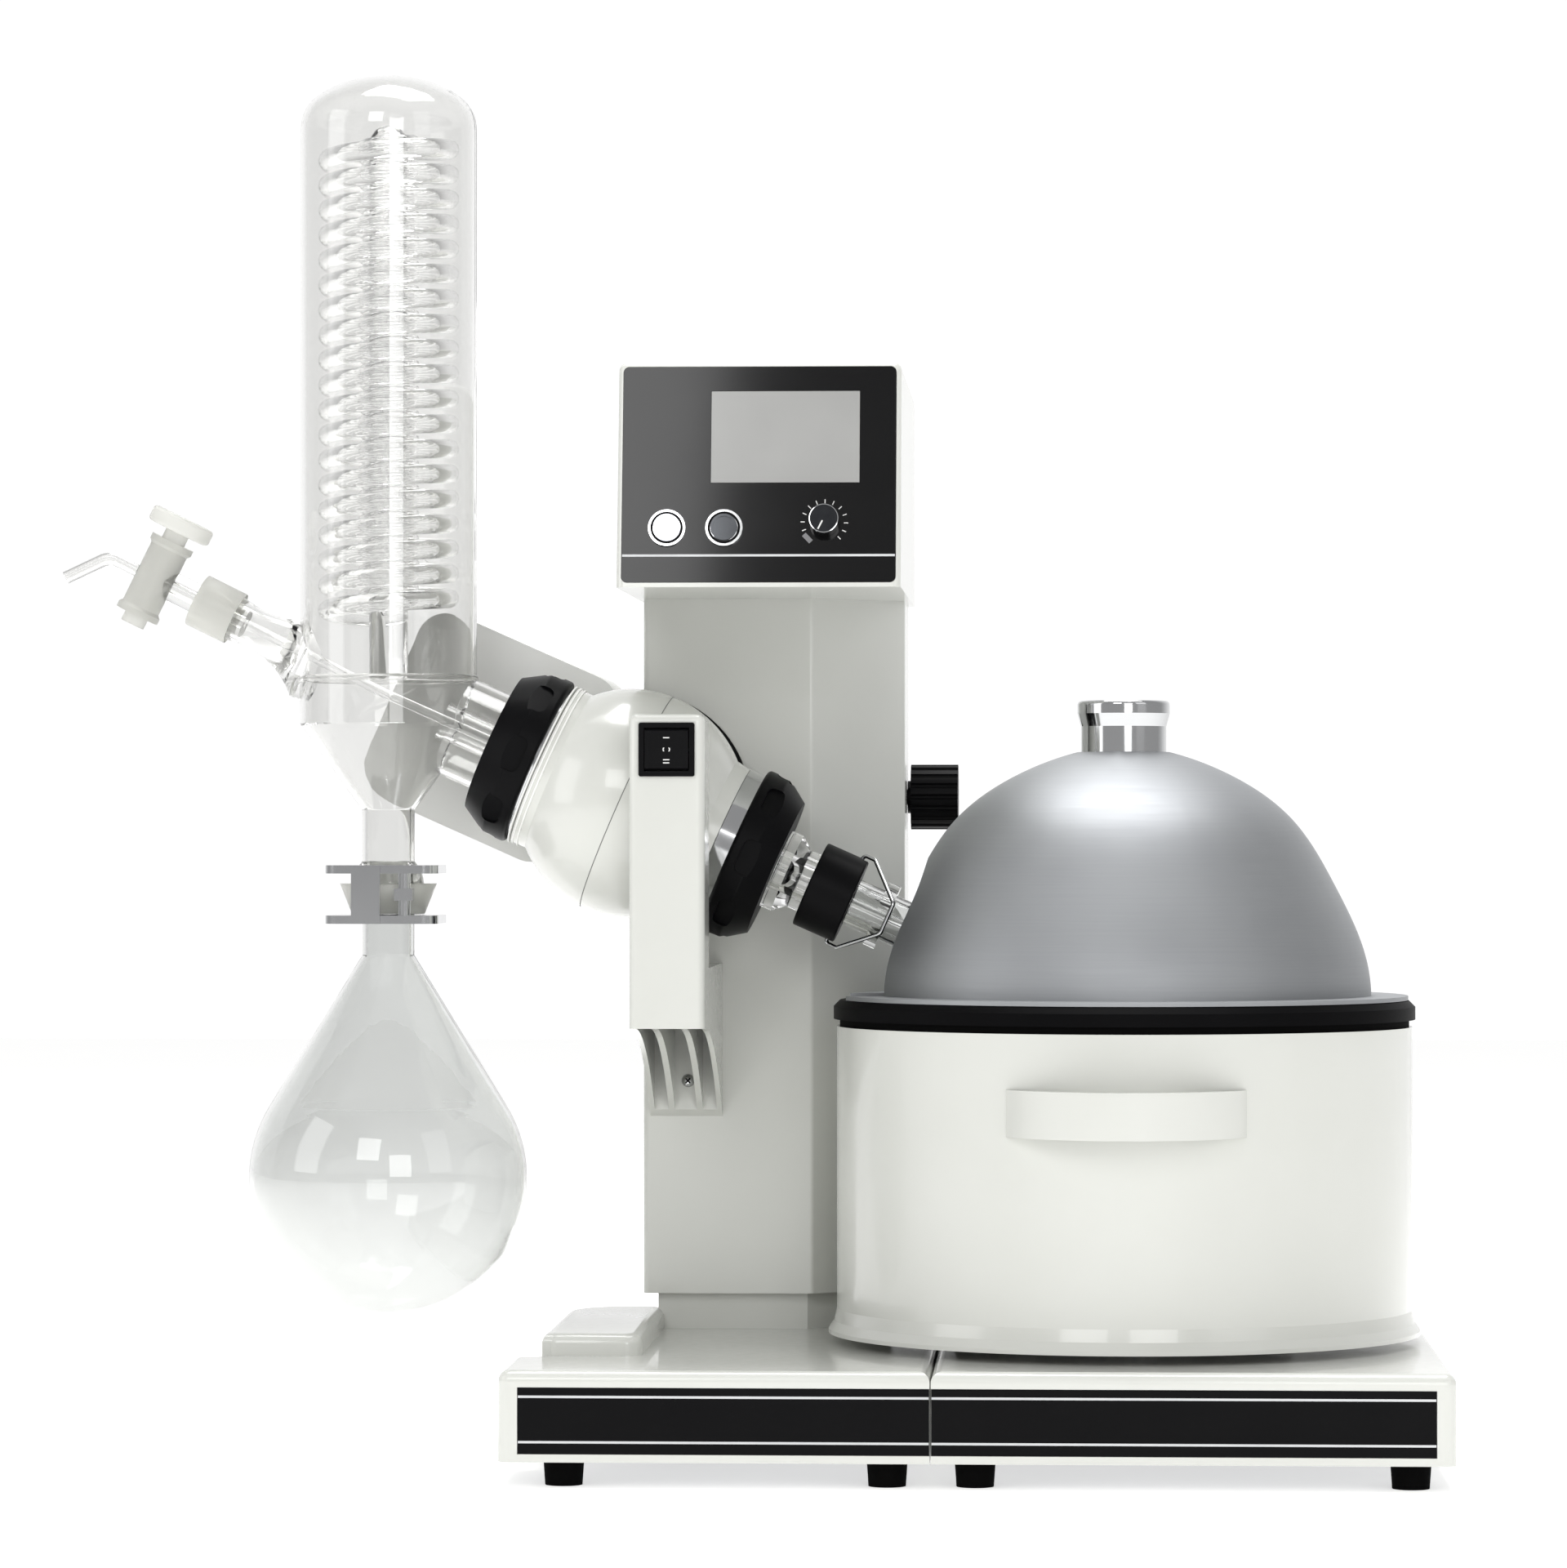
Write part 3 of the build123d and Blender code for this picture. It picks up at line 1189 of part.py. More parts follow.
# Screwed nuts: a rounded rim with finger pockets, a cone, a thread bore and an inner lip
condenser_nut_start = COLLAR_LEFT_END - THREAD_SHOW
flange_face = COLLAR_LEFT_END - THREAD_RING_LENGTH
flask_nut_bore = VAPOUR_RADIUS + PANEL_CLEARANCE
with BuildPart() as condenser_nut:
    nut_end = condenser_nut_start - NUT_LENGTH - NUT_LIP / 2
    with BuildSketch(drive_section):
        with BuildLine():
            Polyline(
                (condenser_nut_start, THREAD_RADIUS + PANEL_CLEARANCE),
                (condenser_nut_start, NUT_BIG_RADIUS),
                (condenser_nut_start - NUT_LENGTH / 2, NUT_BIG_RADIUS),
                (nut_end, NUT_SMALL_RADIUS),
                (nut_end, SIDE_ARM_RADIUS + PANEL_CLEARANCE),
                (flange_face - FLANGE_THICKNESS, SIDE_ARM_RADIUS + PANEL_CLEARANCE),
                (flange_face - FLANGE_THICKNESS, FLANGE_RADIUS + PANEL_CLEARANCE),
                (flange_face, FLANGE_RADIUS + PANEL_CLEARANCE),
                (flange_face, THREAD_RADIUS + PANEL_CLEARANCE),
                close=True,
            )
        make_face()
    revolve(axis=drive_axis)
    fillet(condenser_nut.edges().filter_by(GeomType.CIRCLE).sort_by(SortBy.RADIUS)[-2:], NUT_ROUND)
    with BuildSketch(*grip_planes(condenser_nut_start - NUT_GRIP_START - NUT_LENGTH / 2)):
        RectangleRounded(NUT_LENGTH, NUT_GRIP_WIDTH, NUT_GRIP_CORNER)
    extrude(amount=NUT_LENGTH, mode=Mode.SUBTRACT)
save(condenser_nut, "condenser_nut")

with BuildPart() as spindle_nut:
    spindle_nut_end = ring_end + NUT_LENGTH
    with BuildSketch(drive_section):
        with BuildLine():
            Polyline(
                (ring_end, SPINDLE_THREAD_RADIUS + PANEL_CLEARANCE),
                (ring_end, NUT_BIG_RADIUS),
                (ring_end + NUT_LENGTH / 2, NUT_BIG_RADIUS),
                (spindle_nut_end, NUT_SMALL_RADIUS),
                (spindle_nut_end, flask_nut_bore),
                (nose_end, flask_nut_bore),
                (nose_end, SPINDLE_THREAD_RADIUS + PANEL_CLEARANCE),
                close=True,
            )
        make_face()
    revolve(axis=drive_axis)
    fillet(spindle_nut.edges().filter_by(GeomType.CIRCLE).sort_by(SortBy.RADIUS)[-2:], NUT_ROUND)
    with BuildSketch(*grip_planes(ring_end + NUT_GRIP_START + NUT_LENGTH / 2)):
        RectangleRounded(NUT_LENGTH, NUT_GRIP_WIDTH, NUT_GRIP_CORNER)
    extrude(amount=NUT_LENGTH, mode=Mode.SUBTRACT)
save(spindle_nut, "spindle_nut")

# Threaded ring on the head's left collar
with BuildPart() as thread_ring:
    with BuildSketch(square_to_drive(flange_face)):
        Circle(THREAD_RADIUS)
        Circle(THREAD_RING_BORE, mode=Mode.SUBTRACT)
    extrude(amount=THREAD_RING_LENGTH)
save(thread_ring, "thread_ring")

# Sliding seal between the condenser's flange and the turning vapour tube
with BuildPart() as shaft_seal:
    with BuildSketch(square_to_drive(flange_face)):
        Circle(THREAD_RING_BORE - PANEL_CLEARANCE)
        Circle(VAPOUR_RADIUS + RUNNING_CLEARANCE, mode=Mode.SUBTRACT)
    extrude(amount=SEAL_LENGTH)
save(shaft_seal, "shaft_seal")

# Vapour tube: a long glass bore with a cuff in front of the spindle nut
cuff_start = spindle_nut_end + SEAT_GAP
cuff_end = cuff_start + VAPOUR_CUFF_LENGTH
with BuildPart() as vapour_tube:
    with BuildSketch(drive_section):
        with BuildLine():
            Polyline(
                (VAPOUR_LEFT, VAPOUR_BORE),
                (VAPOUR_LEFT, VAPOUR_RADIUS),
                (cuff_start, VAPOUR_RADIUS),
                (cuff_start, VAPOUR_CUFF_RADIUS),
                (cuff_start + VAPOUR_CUFF_LENGTH / 3, VAPOUR_CUFF_RADIUS),
                (cuff_end - VAPOUR_CUFF_LENGTH / 3, VAPOUR_CUFF_END),
                (cuff_end + NECK_START - SEAT_GAP, VAPOUR_CUFF_END),
                (cuff_end + NECK_START - SEAT_GAP, VAPOUR_RADIUS),
                (VAPOUR_RIGHT, VAPOUR_RADIUS),
                (VAPOUR_RIGHT, VAPOUR_BORE),
                close=True,
            )
        make_face()
    revolve(axis=drive_axis)
save(vapour_tube, "vapour_tube")

# Flask clamp: a cap over the ground joint, notched on its far edge
cap_end = cuff_end + CAP_LENGTH
neck_mouth = cuff_end + NECK_START
bail_s = cuff_end + BAIL_PIVOT
with BuildPart() as flask_clamp:
    with BuildSketch(drive_section):
        with BuildLine():
            Polyline(
                (cuff_end, VAPOUR_CUFF_END + PANEL_CLEARANCE),
                (cuff_end, CAP_RADIUS),
                (cap_end, CAP_RADIUS),
                (cap_end, NECK_RADIUS + PANEL_CLEARANCE),
                (neck_mouth, NECK_RADIUS + PANEL_CLEARANCE),
                (neck_mouth, VAPOUR_CUFF_END + PANEL_CLEARANCE),
                close=True,
            )
        make_face()
    revolve(axis=drive_axis)
    fillet(flask_clamp.edges().filter_by(GeomType.CIRCLE).sort_by(SortBy.RADIUS)[-2:], BAIL_WIRE)
    with BuildSketch(Plane(drive_point(bail_s, 0, 0), x_dir=(0, 1, 0), z_dir=drive_section.y_dir)):
        Circle(BAIL_WIRE + RUNNING_CLEARANCE)
    extrude(amount=2 * CAP_RADIUS, both=True, mode=Mode.SUBTRACT)
    with BuildSketch(square_to_drive(cap_end)):
        with Locations((0, CAP_RADIUS)):
            Rectangle(2 * CAP_NOTCH, CAP_NOTCH)
    extrude(amount=-CAP_NOTCH / 2, mode=Mode.SUBTRACT)
save(flask_clamp, "flask_clamp")

# Wire bail hinged across the clamp, looping past the neck's bead
bail_p = CAP_RADIUS + BAIL_STAND
with BuildPart() as flask_bail:
    with BuildLine() as bail_wire:
        FilletPolyline(
            drive_point(bail_s, CAP_RADIUS - BAIL_SEAT, 0),
            drive_point(bail_s, bail_p, 0),
            drive_point(bail_s + BAIL_ELBOW, bail_p, -BAIL_ELBOW / 2),
            drive_point(bail_s + BAIL_REACH, BAIL_CROSS, -BAIL_FRONT),
            drive_point(bail_s + BAIL_REACH, -BAIL_CROSS, -BAIL_FRONT),
            drive_point(bail_s + BAIL_ELBOW, -bail_p, -BAIL_ELBOW / 2),
            drive_point(bail_s, -bail_p, 0),
            drive_point(bail_s, -CAP_RADIUS + BAIL_SEAT, 0),
            radius=2 * BAIL_WIRE,
        )
    with BuildSketch(Plane(bail_wire.line @ 0, z_dir=bail_wire.line % 0)):
        Circle(BAIL_WIRE)
    sweep(transition=Transition.ROUND)
save(flask_bail, "flask_bail")

# Evaporating flask: a round bulb on a beaded neck
bulb_start = FLASK_S - math.sqrt(FLASK_RADIUS**2 - NECK_RADIUS**2)
inner_bulb = FLASK_RADIUS - FLASK_WALL
inner_start = FLASK_S - math.sqrt(inner_bulb**2 - NECK_BORE**2)
with BuildPart() as evaporating_flask:
    with BuildSketch(drive_section):
        with BuildLine():
            Polyline(
                (neck_mouth, NECK_BORE),
                (neck_mouth, NECK_RADIUS),
                (BEAD_S - BEAD_WIDTH / 2, NECK_RADIUS),
                (BEAD_S - BEAD_WIDTH / 2, BEAD_RADIUS),
                (BEAD_S + BEAD_WIDTH / 2, BEAD_RADIUS),
                (BEAD_S + BEAD_WIDTH / 2, NECK_RADIUS),
                (bulb_start, NECK_RADIUS),
            )
            ThreePointArc((bulb_start, NECK_RADIUS), (FLASK_S, FLASK_RADIUS), (FLASK_S + FLASK_RADIUS, 0))
            Line((FLASK_S + FLASK_RADIUS, 0), (FLASK_S + inner_bulb, 0))
            ThreePointArc((FLASK_S + inner_bulb, 0), (FLASK_S, inner_bulb), (inner_start, NECK_BORE))
            Line((inner_start, NECK_BORE), (neck_mouth, NECK_BORE))
        make_face()
    revolve(axis=drive_axis)
save(evaporating_flask, "evaporating_flask")

# Condenser glass: a domed jacket with a side arm, a feed joint, hose nipples and a ball joint
shoulder_z = cross_z + CONDENSER_SHOULDER
straight_z = cross_z - CONDENSER_STRAIGHT
neck_z = straight_z - CONDENSER_CONE
inner_radius = CONDENSER_RADIUS - CONDENSER_WALL
inner_neck = CONDENSER_NECK - CONDENSER_WALL
side_arm_length = CONDENSER_OFFSET / math.cos(tilt) + flange_face
joint_top = math.sqrt(JOINT_RADIUS**2 - CONDENSER_NECK**2)
joint_open = math.sqrt(JOINT_RADIUS**2 - inner_neck**2)
nipple_places = [
    (condenser_x - NIPPLE_SPACING / 2, cross_z + NIPPLE_RISE),
    (condenser_x + NIPPLE_SPACING / 2, cross_z + NIPPLE_RISE),
    (condenser_x, cross_z + VACUUM_RISE),
]
with BuildPart() as condenser_glass:
    with BuildSketch(upright(condenser_x, 0)):
        with BuildLine():
            Spline(
                (CONDENSER_RADIUS, shoulder_z),
                (CONDENSER_RADIUS * DOME_BULGE, shoulder_z + CONDENSER_DOME * DOME_BULGE),
                (0, shoulder_z + CONDENSER_DOME),
                tangents=((0, 1), (-1, 0)),
            )
            Line((0, shoulder_z + CONDENSER_DOME), (0, joint_z - joint_open))
            Line((0, joint_z - joint_open), (inner_neck, joint_z - joint_open))
            ThreePointArc(
                (inner_neck, joint_z - joint_open),
                (JOINT_RADIUS, joint_z),
                (CONDENSER_NECK, joint_z + joint_top),
            )
            Polyline(
                (CONDENSER_NECK, joint_z + joint_top),
                (CONDENSER_NECK, neck_z),
                (CONDENSER_RADIUS, straight_z),
                (CONDENSER_RADIUS, shoulder_z),
            )
        make_face()
    revolve(axis=condenser_axis)
    with BuildSketch(drive_section):
        with BuildLine():
            Polyline(
                (flange_face - side_arm_length, 0),
                (flange_face - side_arm_length, SIDE_ARM_RADIUS),
                (flange_face - FLANGE_THICKNESS, SIDE_ARM_RADIUS),
                (flange_face - FLANGE_THICKNESS, FLANGE_RADIUS),
                (flange_face, FLANGE_RADIUS),
                (flange_face, 0),
                close=True,
            )
        make_face()
    revolve(axis=drive_axis)
    with BuildSketch(feed_section):
        with BuildLine():
            Line((0, 0), (0, FEED_FLARE))
            Line((0, FEED_FLARE), (CONDENSER_RADIUS, FEED_FLARE))
            TangentArc((CONDENSER_RADIUS, FEED_FLARE), (FEED_THROAT_S, FEED_THROAT), tangent=(1, -1))
            Polyline(
                (FEED_THROAT_S, FEED_THROAT),
                (FEED_SOCKET_S, FEED_SOCKET),
                (FEED_END_S, FEED_SOCKET),
                (FEED_END_S, 0),
                (0, 0),
            )
        make_face()
    revolve(axis=feed_axis)
    with BuildSketch(upright(0, 0)):
        with Locations(nipple_places):
            Circle(NIPPLE_ROOT_RADIUS)
    extrude(amount=-CONDENSER_RADIUS - NIPPLE_ROOT_LENGTH)
    with BuildSketch(upright(0, CONDENSER_RADIUS)):
        with Locations(nipple_places):
            Circle(NIPPLE_RADIUS)
    extrude(amount=-NIPPLE_LENGTH)
    with BuildSketch(upright(condenser_x, 0)):
        with BuildLine():
            Spline(
                (inner_radius, shoulder_z),
                (inner_radius * DOME_BULGE, shoulder_z + (CONDENSER_DOME - CONDENSER_WALL) * DOME_BULGE),
                (0, shoulder_z + CONDENSER_DOME - CONDENSER_WALL),
                tangents=((0, 1), (-1, 0)),
            )
            Line((0, shoulder_z + CONDENSER_DOME - CONDENSER_WALL), (0, joint_z - JOINT_RADIUS))
            Polyline(
                (0, joint_z - JOINT_RADIUS),
                (inner_neck, joint_z - JOINT_RADIUS),
                (inner_neck, neck_z),
                (inner_radius, straight_z),
                (inner_radius, shoulder_z),
            )
        make_face()
    revolve(axis=condenser_axis, mode=Mode.SUBTRACT)
    with BuildSketch(square_to_drive(flange_face)):
        Circle(SIDE_ARM_RADIUS - CONDENSER_WALL)
    extrude(amount=-side_arm_length, mode=Mode.SUBTRACT)
    with BuildSketch(Plane(origin=cross_point, x_dir=(0, 1, 0), z_dir=feed_direction)):
        Circle(FEED_BORE)
    extrude(amount=FEED_END_S, mode=Mode.SUBTRACT)
    with BuildSketch(upright(0, CONDENSER_RADIUS + NIPPLE_LENGTH)):
        with Locations(nipple_places):
            Circle(NIPPLE_BORE)
    extrude(amount=NIPPLE_LENGTH + 2 * CONDENSER_WALL + NIPPLE_RADIUS, mode=Mode.SUBTRACT)
save(condenser_glass, "condenser_glass")

# Cooling coil hung from its two tails at the back wall, around a hollow core tube
coil_bottom = cross_z + COIL_BOTTOM
coil_top = coil_bottom + COIL_PITCH * COIL_TURNS
tail_end = math.sqrt(inner_radius**2 - COIL_TUBE**2) - PANEL_CLEARANCE
core_tail_z = coil_bottom - CORE_DROP
core_bottom = core_tail_z - COIL_TUBE - CORE_WALL
with BuildPart() as cooling_coil:
    with BuildLine() as coil_path:
        Helix(COIL_PITCH, COIL_PITCH * COIL_TURNS, COIL_RADIUS, center=(condenser_x, 0, coil_bottom))
    with BuildSketch(Plane(coil_path.line @ 0, z_dir=coil_path.line % 0)):
        RegularPolygon(COIL_TUBE, COIL_SIDES)
    sweep(path=coil_path.line, is_frenet=True)
    with BuildSketch(Plane.XY.offset(core_bottom)):
        with Locations((condenser_x, 0)):
            Circle(CORE_RADIUS)
    extrude(amount=coil_top + CORE_RISE - core_bottom)
    fillet(cooling_coil.faces().filter_by(Plane.XY).sort_by(Axis.Z)[-1].edges(), CORE_RADIUS - CORE_WALL)
    for tail_x, tail_z, tail_amount in (
        (COIL_RADIUS, coil_bottom, tail_end - COIL_RADIUS),
        (COIL_RADIUS, coil_top, CORE_RADIUS / 2 - COIL_RADIUS),
        (0, core_tail_z, -tail_end),
    ):
        with BuildSketch(
            Plane(origin=(condenser_x + tail_x, 0, tail_z), x_dir=(0, 1, 0), z_dir=(1, 0, 0))
        ):
            Circle(COIL_TUBE)
        extrude(amount=tail_amount)
save(cooling_coil, "cooling_coil")

# Stopcock barrel: a lipped sleeve square to the feed axis, a stem into the socket and a bent outlet
stopcock_centre = cross_point + feed_direction * STOPCOCK_S
plug_direction = Vector(math.sin(feed_angle), 0, math.cos(feed_angle))
plug_section = Plane(origin=stopcock_centre, x_dir=plug_direction, z_dir=(0, -1, 0))
plug_axis = Axis(stopcock_centre, plug_direction)
outlet_angle = math.radians(OUTLET_DROP_ANGLE)
outlet_corner = stopcock_centre + feed_direction * OUTLET_RUN
outlet_tip = outlet_corner + Vector(-math.cos(outlet_angle), 0, -math.sin(outlet_angle)) * OUTLET_TIP
half_barrel = STOPCOCK_LENGTH / 2
with BuildPart() as stopcock_barrel:
    with BuildSketch(plug_section):
        with BuildLine():
            Polyline(
                (-half_barrel, 0),
                (-half_barrel, STOPCOCK_RADIUS + STOPCOCK_LIP),
                (-half_barrel + 2 * STOPCOCK_LIP, STOPCOCK_RADIUS + STOPCOCK_LIP),
                (-half_barrel + 3 * STOPCOCK_LIP, STOPCOCK_RADIUS),
                (half_barrel - 3 * STOPCOCK_LIP, STOPCOCK_RADIUS),
                (half_barrel - 2 * STOPCOCK_LIP, STOPCOCK_RADIUS + STOPCOCK_LIP),
                (half_barrel, STOPCOCK_RADIUS + STOPCOCK_LIP),
                (half_barrel, 0),
                close=True,
            )
        make_face()
    revolve(axis=plug_axis)
    with BuildSketch(Plane(origin=stopcock_centre, x_dir=(0, 1, 0), z_dir=-feed_direction)):
        Circle(STOPCOCK_STEM)
    extrude(amount=STOPCOCK_S - FEED_END_S + STOPCOCK_STEM_REACH)
    with BuildLine() as outlet_path:
        FilletPolyline(stopcock_centre, outlet_corner, outlet_tip, radius=OUTLET_BEND)
    with BuildSketch(Plane(origin=stopcock_centre, x_dir=(0, 1, 0), z_dir=feed_direction)):
        Circle(OUTLET_RADIUS)
    sweep(path=outlet_path.line)
    with BuildSketch(Plane(origin=stopcock_centre, x_dir=(0, 1, 0), z_dir=feed_direction)):
        Circle(OUTLET_BORE)
    sweep(path=outlet_path.line, mode=Mode.SUBTRACT)
    with BuildSketch(Plane(origin=stopcock_centre, x_dir=(0, 1, 0), z_dir=-feed_direction)):
        Circle(FEED_TUBE_RADIUS + RUNNING_CLEARANCE)
    extrude(amount=STOPCOCK_S, mode=Mode.SUBTRACT)
    with BuildSketch(plug_section):
        with Locations((0, 0)):
            Rectangle(4 * half_barrel, PLUG_RADIUS + RUNNING_CLEARANCE, align=(Align.CENTER, Align.MIN))
    revolve(axis=plug_axis, mode=Mode.SUBTRACT)
save(stopcock_barrel, "stopcock_barrel")

# Stopcock plug with a disc handle above and a nub below
handle_start = half_barrel + PLUG_HANDLE_RISE
with BuildPart() as stopcock_plug:
    with BuildSketch(plug_section):
        with BuildLine():
            Polyline(
                (-half_barrel - PLUG_NUB, 0),
                (-half_barrel - PLUG_NUB, PLUG_RADIUS),
                (handle_start, PLUG_RADIUS),
                (handle_start, PLUG_HANDLE_RADIUS),
                (handle_start + PLUG_HANDLE_WIDTH, PLUG_HANDLE_RADIUS),
                (handle_start + PLUG_HANDLE_WIDTH, 0),
                close=True,
            )
        make_face()
    revolve(axis=plug_axis)
    fillet(
        stopcock_plug.edges().filter_by(GeomType.CIRCLE).sort_by(SortBy.RADIUS)[-2:], PLUG_HANDLE_WIDTH / 4
    )
    with BuildSketch(plug_section):
        Rectangle(2 * OUTLET_BORE, 4 * PLUG_RADIUS)
    extrude(amount=OUTLET_BORE, both=True, mode=Mode.SUBTRACT)
save(stopcock_plug, "stopcock_plug")

# Feed tube from the stopcock's stem down the drive axis into the flask
feed_tube_start = cross_point + feed_direction * (FEED_END_S - STOPCOCK_STEM_REACH / 2)
with BuildPart() as feed_tube:
    with BuildLine() as feed_path:
        FilletPolyline(
            feed_tube_start,
            cross_point,
            drive_point(FEED_TUBE_END, 0, 0),
            radius=CONDENSER_OFFSET,
        )
    with BuildSketch(Plane(feed_path.line @ 0, z_dir=feed_path.line % 0)):
        Circle(FEED_TUBE_RADIUS)
    sweep(path=feed_path.line)
save(feed_tube, "feed_tube")

# Receiving flask with the cup of the ball joint
cup_rim_z = joint_z + CUP_RISE
cup_foot_z = cup_rim_z - CUP_HEIGHT
receiver_neck_z = cup_foot_z - RECEIVER_NECK_LENGTH
receiver_z = cup_rim_z - RECEIVER_CENTRE_DROP
cone_angle = math.radians(RECEIVER_CONE_ANGLE)
cone_touch = (RECEIVER_RADIUS * math.cos(cone_angle), receiver_z + RECEIVER_RADIUS * math.sin(cone_angle))
inner_receiver = RECEIVER_RADIUS - RECEIVER_WALL
inner_touch = (inner_receiver * math.cos(cone_angle), receiver_z + inner_receiver * math.sin(cone_angle))
receiver_bore = RECEIVER_NECK - RECEIVER_WALL
cup_hollow = JOINT_RADIUS + SEAT_GAP
cup_mouth_z = joint_z - math.sqrt(cup_hollow**2 - receiver_bore**2)
with BuildPart() as receiver_flask:
    with BuildSketch(upright(condenser_x, 0)):
        with BuildLine():
            ThreePointArc(
                (0, receiver_z - RECEIVER_RADIUS),
                (RECEIVER_RADIUS, receiver_z),
                cone_touch,
            )
            Polyline(
                cone_touch,
                (RECEIVER_NECK, receiver_neck_z),
                (RECEIVER_NECK, cup_foot_z),
                (CUP_FOOT, cup_foot_z),
                (CUP_RIM, cup_rim_z),
                (cup_hollow, cup_rim_z),
                (cup_hollow, joint_z),
            )
            ThreePointArc(
                (cup_hollow, joint_z),
                (cup_hollow * math.cos(cone_angle), joint_z - cup_hollow * math.sin(cone_angle)),
                (receiver_bore, cup_mouth_z),
            )
            Polyline((receiver_bore, cup_mouth_z), (receiver_bore, receiver_neck_z), inner_touch)
            ThreePointArc(inner_touch, (inner_receiver, receiver_z), (0, receiver_z - inner_receiver))
            Line((0, receiver_z - inner_receiver), (0, receiver_z - RECEIVER_RADIUS))
        make_face()
    revolve(axis=condenser_axis)
save(receiver_flask, "receiver_flask")

# Fork clamp over the ball joint: two forks joined at the front
upper_fork_z = joint_z + FORK_RISE
upper_fork_bore = math.sqrt(JOINT_RADIUS**2 - FORK_RISE**2)
lower_fork_z = cup_foot_z - SEAT_GAP - FORK_THICKNESS
fork_space = upper_fork_z - lower_fork_z - FORK_THICKNESS
with BuildPart() as joint_clamp:
    for fork_z, fork_bore in ((upper_fork_z, upper_fork_bore), (lower_fork_z, RECEIVER_NECK)):
        with BuildSketch(Plane.XY.offset(fork_z)) as fork_plan:
            with Locations((condenser_x, -FORK_FRONT)):
                Rectangle(FORK_WIDTH, FORK_FRONT + FORK_BACK, align=(Align.CENTER, Align.MIN))
            fillet(fork_plan.vertices(), FORK_CORNER)
            with Locations((condenser_x, 0)):
                Circle(fork_bore + SLIDE_CLEARANCE, mode=Mode.SUBTRACT)
                Rectangle(
                    2 * (fork_bore + SLIDE_CLEARANCE),
                    2 * FORK_BACK,
                    align=(Align.CENTER, Align.MIN),
                    mode=Mode.SUBTRACT,
                )
            with Locations((condenser_x + FORK_SCREW_X, FORK_SCREW_Y)):
                Circle(FORK_SCREW_RADIUS + RUNNING_CLEARANCE, mode=Mode.SUBTRACT)
        extrude(amount=FORK_THICKNESS)
    with BuildSketch(Plane.XY.offset(lower_fork_z)):
        with Locations((condenser_x - FORK_LINK_WIDTH / 2, -FORK_FRONT)):
            Rectangle(FORK_LINK_WIDTH, FORK_LINK)
    extrude(amount=fork_space + 2 * FORK_THICKNESS)
save(joint_clamp, "joint_clamp")

# Clamp screw with its square nut between the forks
screw_middle = lower_fork_z + FORK_THICKNESS + fork_space / 2
with BuildPart() as clamp_screw:
    with BuildSketch(Plane.XY.offset(lower_fork_z)):
        with Locations((condenser_x + FORK_SCREW_X, FORK_SCREW_Y)):
            Circle(FORK_SCREW_RADIUS)
    extrude(amount=fork_space + 2 * FORK_THICKNESS)
    with BuildSketch(Plane.XY.offset(screw_middle - FORK_NUT_HEIGHT / 2)):
        with Locations((condenser_x + FORK_SCREW_X, FORK_SCREW_Y)):
            Rectangle(FORK_NUT_SIDE, FORK_NUT_SIDE)
    extrude(amount=FORK_NUT_HEIGHT)
save(clamp_screw, "clamp_screw")

# Bath shell: a flared tub on a foot ring, hung over the edge of the column base
tub_axis = Axis((TUB_X, 0, 0), (0, 0, 1))
with BuildPart() as bath_shell:
    with BuildSketch(upright(TUB_X, 0)):
        with BuildLine():
            Polyline(
                (0, base_top),
                (TUB_FOOT_RADIUS, base_top),
                (TUB_FOOT_RADIUS, tub_bottom),
                (TUB_RADIUS + TUB_FLARE, tub_bottom),
                (TUB_RADIUS + TUB_FLARE, tub_bottom + TUB_WALL),
                (TUB_RADIUS + TUB_FLARE / 3, tub_bottom + TUB_FLARE_HEIGHT / 2),
                (TUB_RADIUS, tub_bottom + TUB_FLARE_HEIGHT),
                (TUB_RADIUS, tub_top),
                (TUB_RADIUS - TUB_WALL, tub_top),
                (TUB_RADIUS - TUB_WALL, tub_bottom + TUB_FLOOR),
                (0, tub_bottom + TUB_FLOOR),
                close=True,
            )
        make_face()
    revolve(axis=tub_axis)
save(bath_shell, "bath_shell")

# Bowed strap handle on the front of the tub
handle_top = tub_top - HANDLE_TOP_DROP
handle_foot = math.sqrt(TUB_RADIUS**2 - (HANDLE_WIDTH / 2) ** 2)
handle_front = TUB_RADIUS + HANDLE_REACH
with BuildPart() as bath_handle:
    with BuildSketch(Plane.XY.offset(handle_top - HANDLE_HEIGHT)):
        with BuildLine():
            ThreePointArc(
                (TUB_X - HANDLE_WIDTH / 2, -handle_foot),
                (TUB_X, -handle_front),
                (TUB_X + HANDLE_WIDTH / 2, -handle_foot),
            )
            Line((TUB_X + HANDLE_WIDTH / 2, -handle_foot), (TUB_X - HANDLE_WIDTH / 2, -handle_foot))
        make_face()
        with BuildLine():
            ThreePointArc(
                (TUB_X - HANDLE_WIDTH / 2 + 2 * HANDLE_STRAP, -handle_foot),
                (TUB_X, -handle_front + HANDLE_STRAP),
                (TUB_X + HANDLE_WIDTH / 2 - 2 * HANDLE_STRAP, -handle_foot),
            )
            Line(
                (TUB_X + HANDLE_WIDTH / 2 - 2 * HANDLE_STRAP, -handle_foot),
                (TUB_X - HANDLE_WIDTH / 2 + 2 * HANDLE_STRAP, -handle_foot),
            )
        make_face(mode=Mode.SUBTRACT)
        with Locations((TUB_X, 0)):
            Circle(TUB_RADIUS + PANEL_CLEARANCE, mode=Mode.SUBTRACT)
    extrude(amount=HANDLE_HEIGHT)
save(bath_handle, "bath_handle")

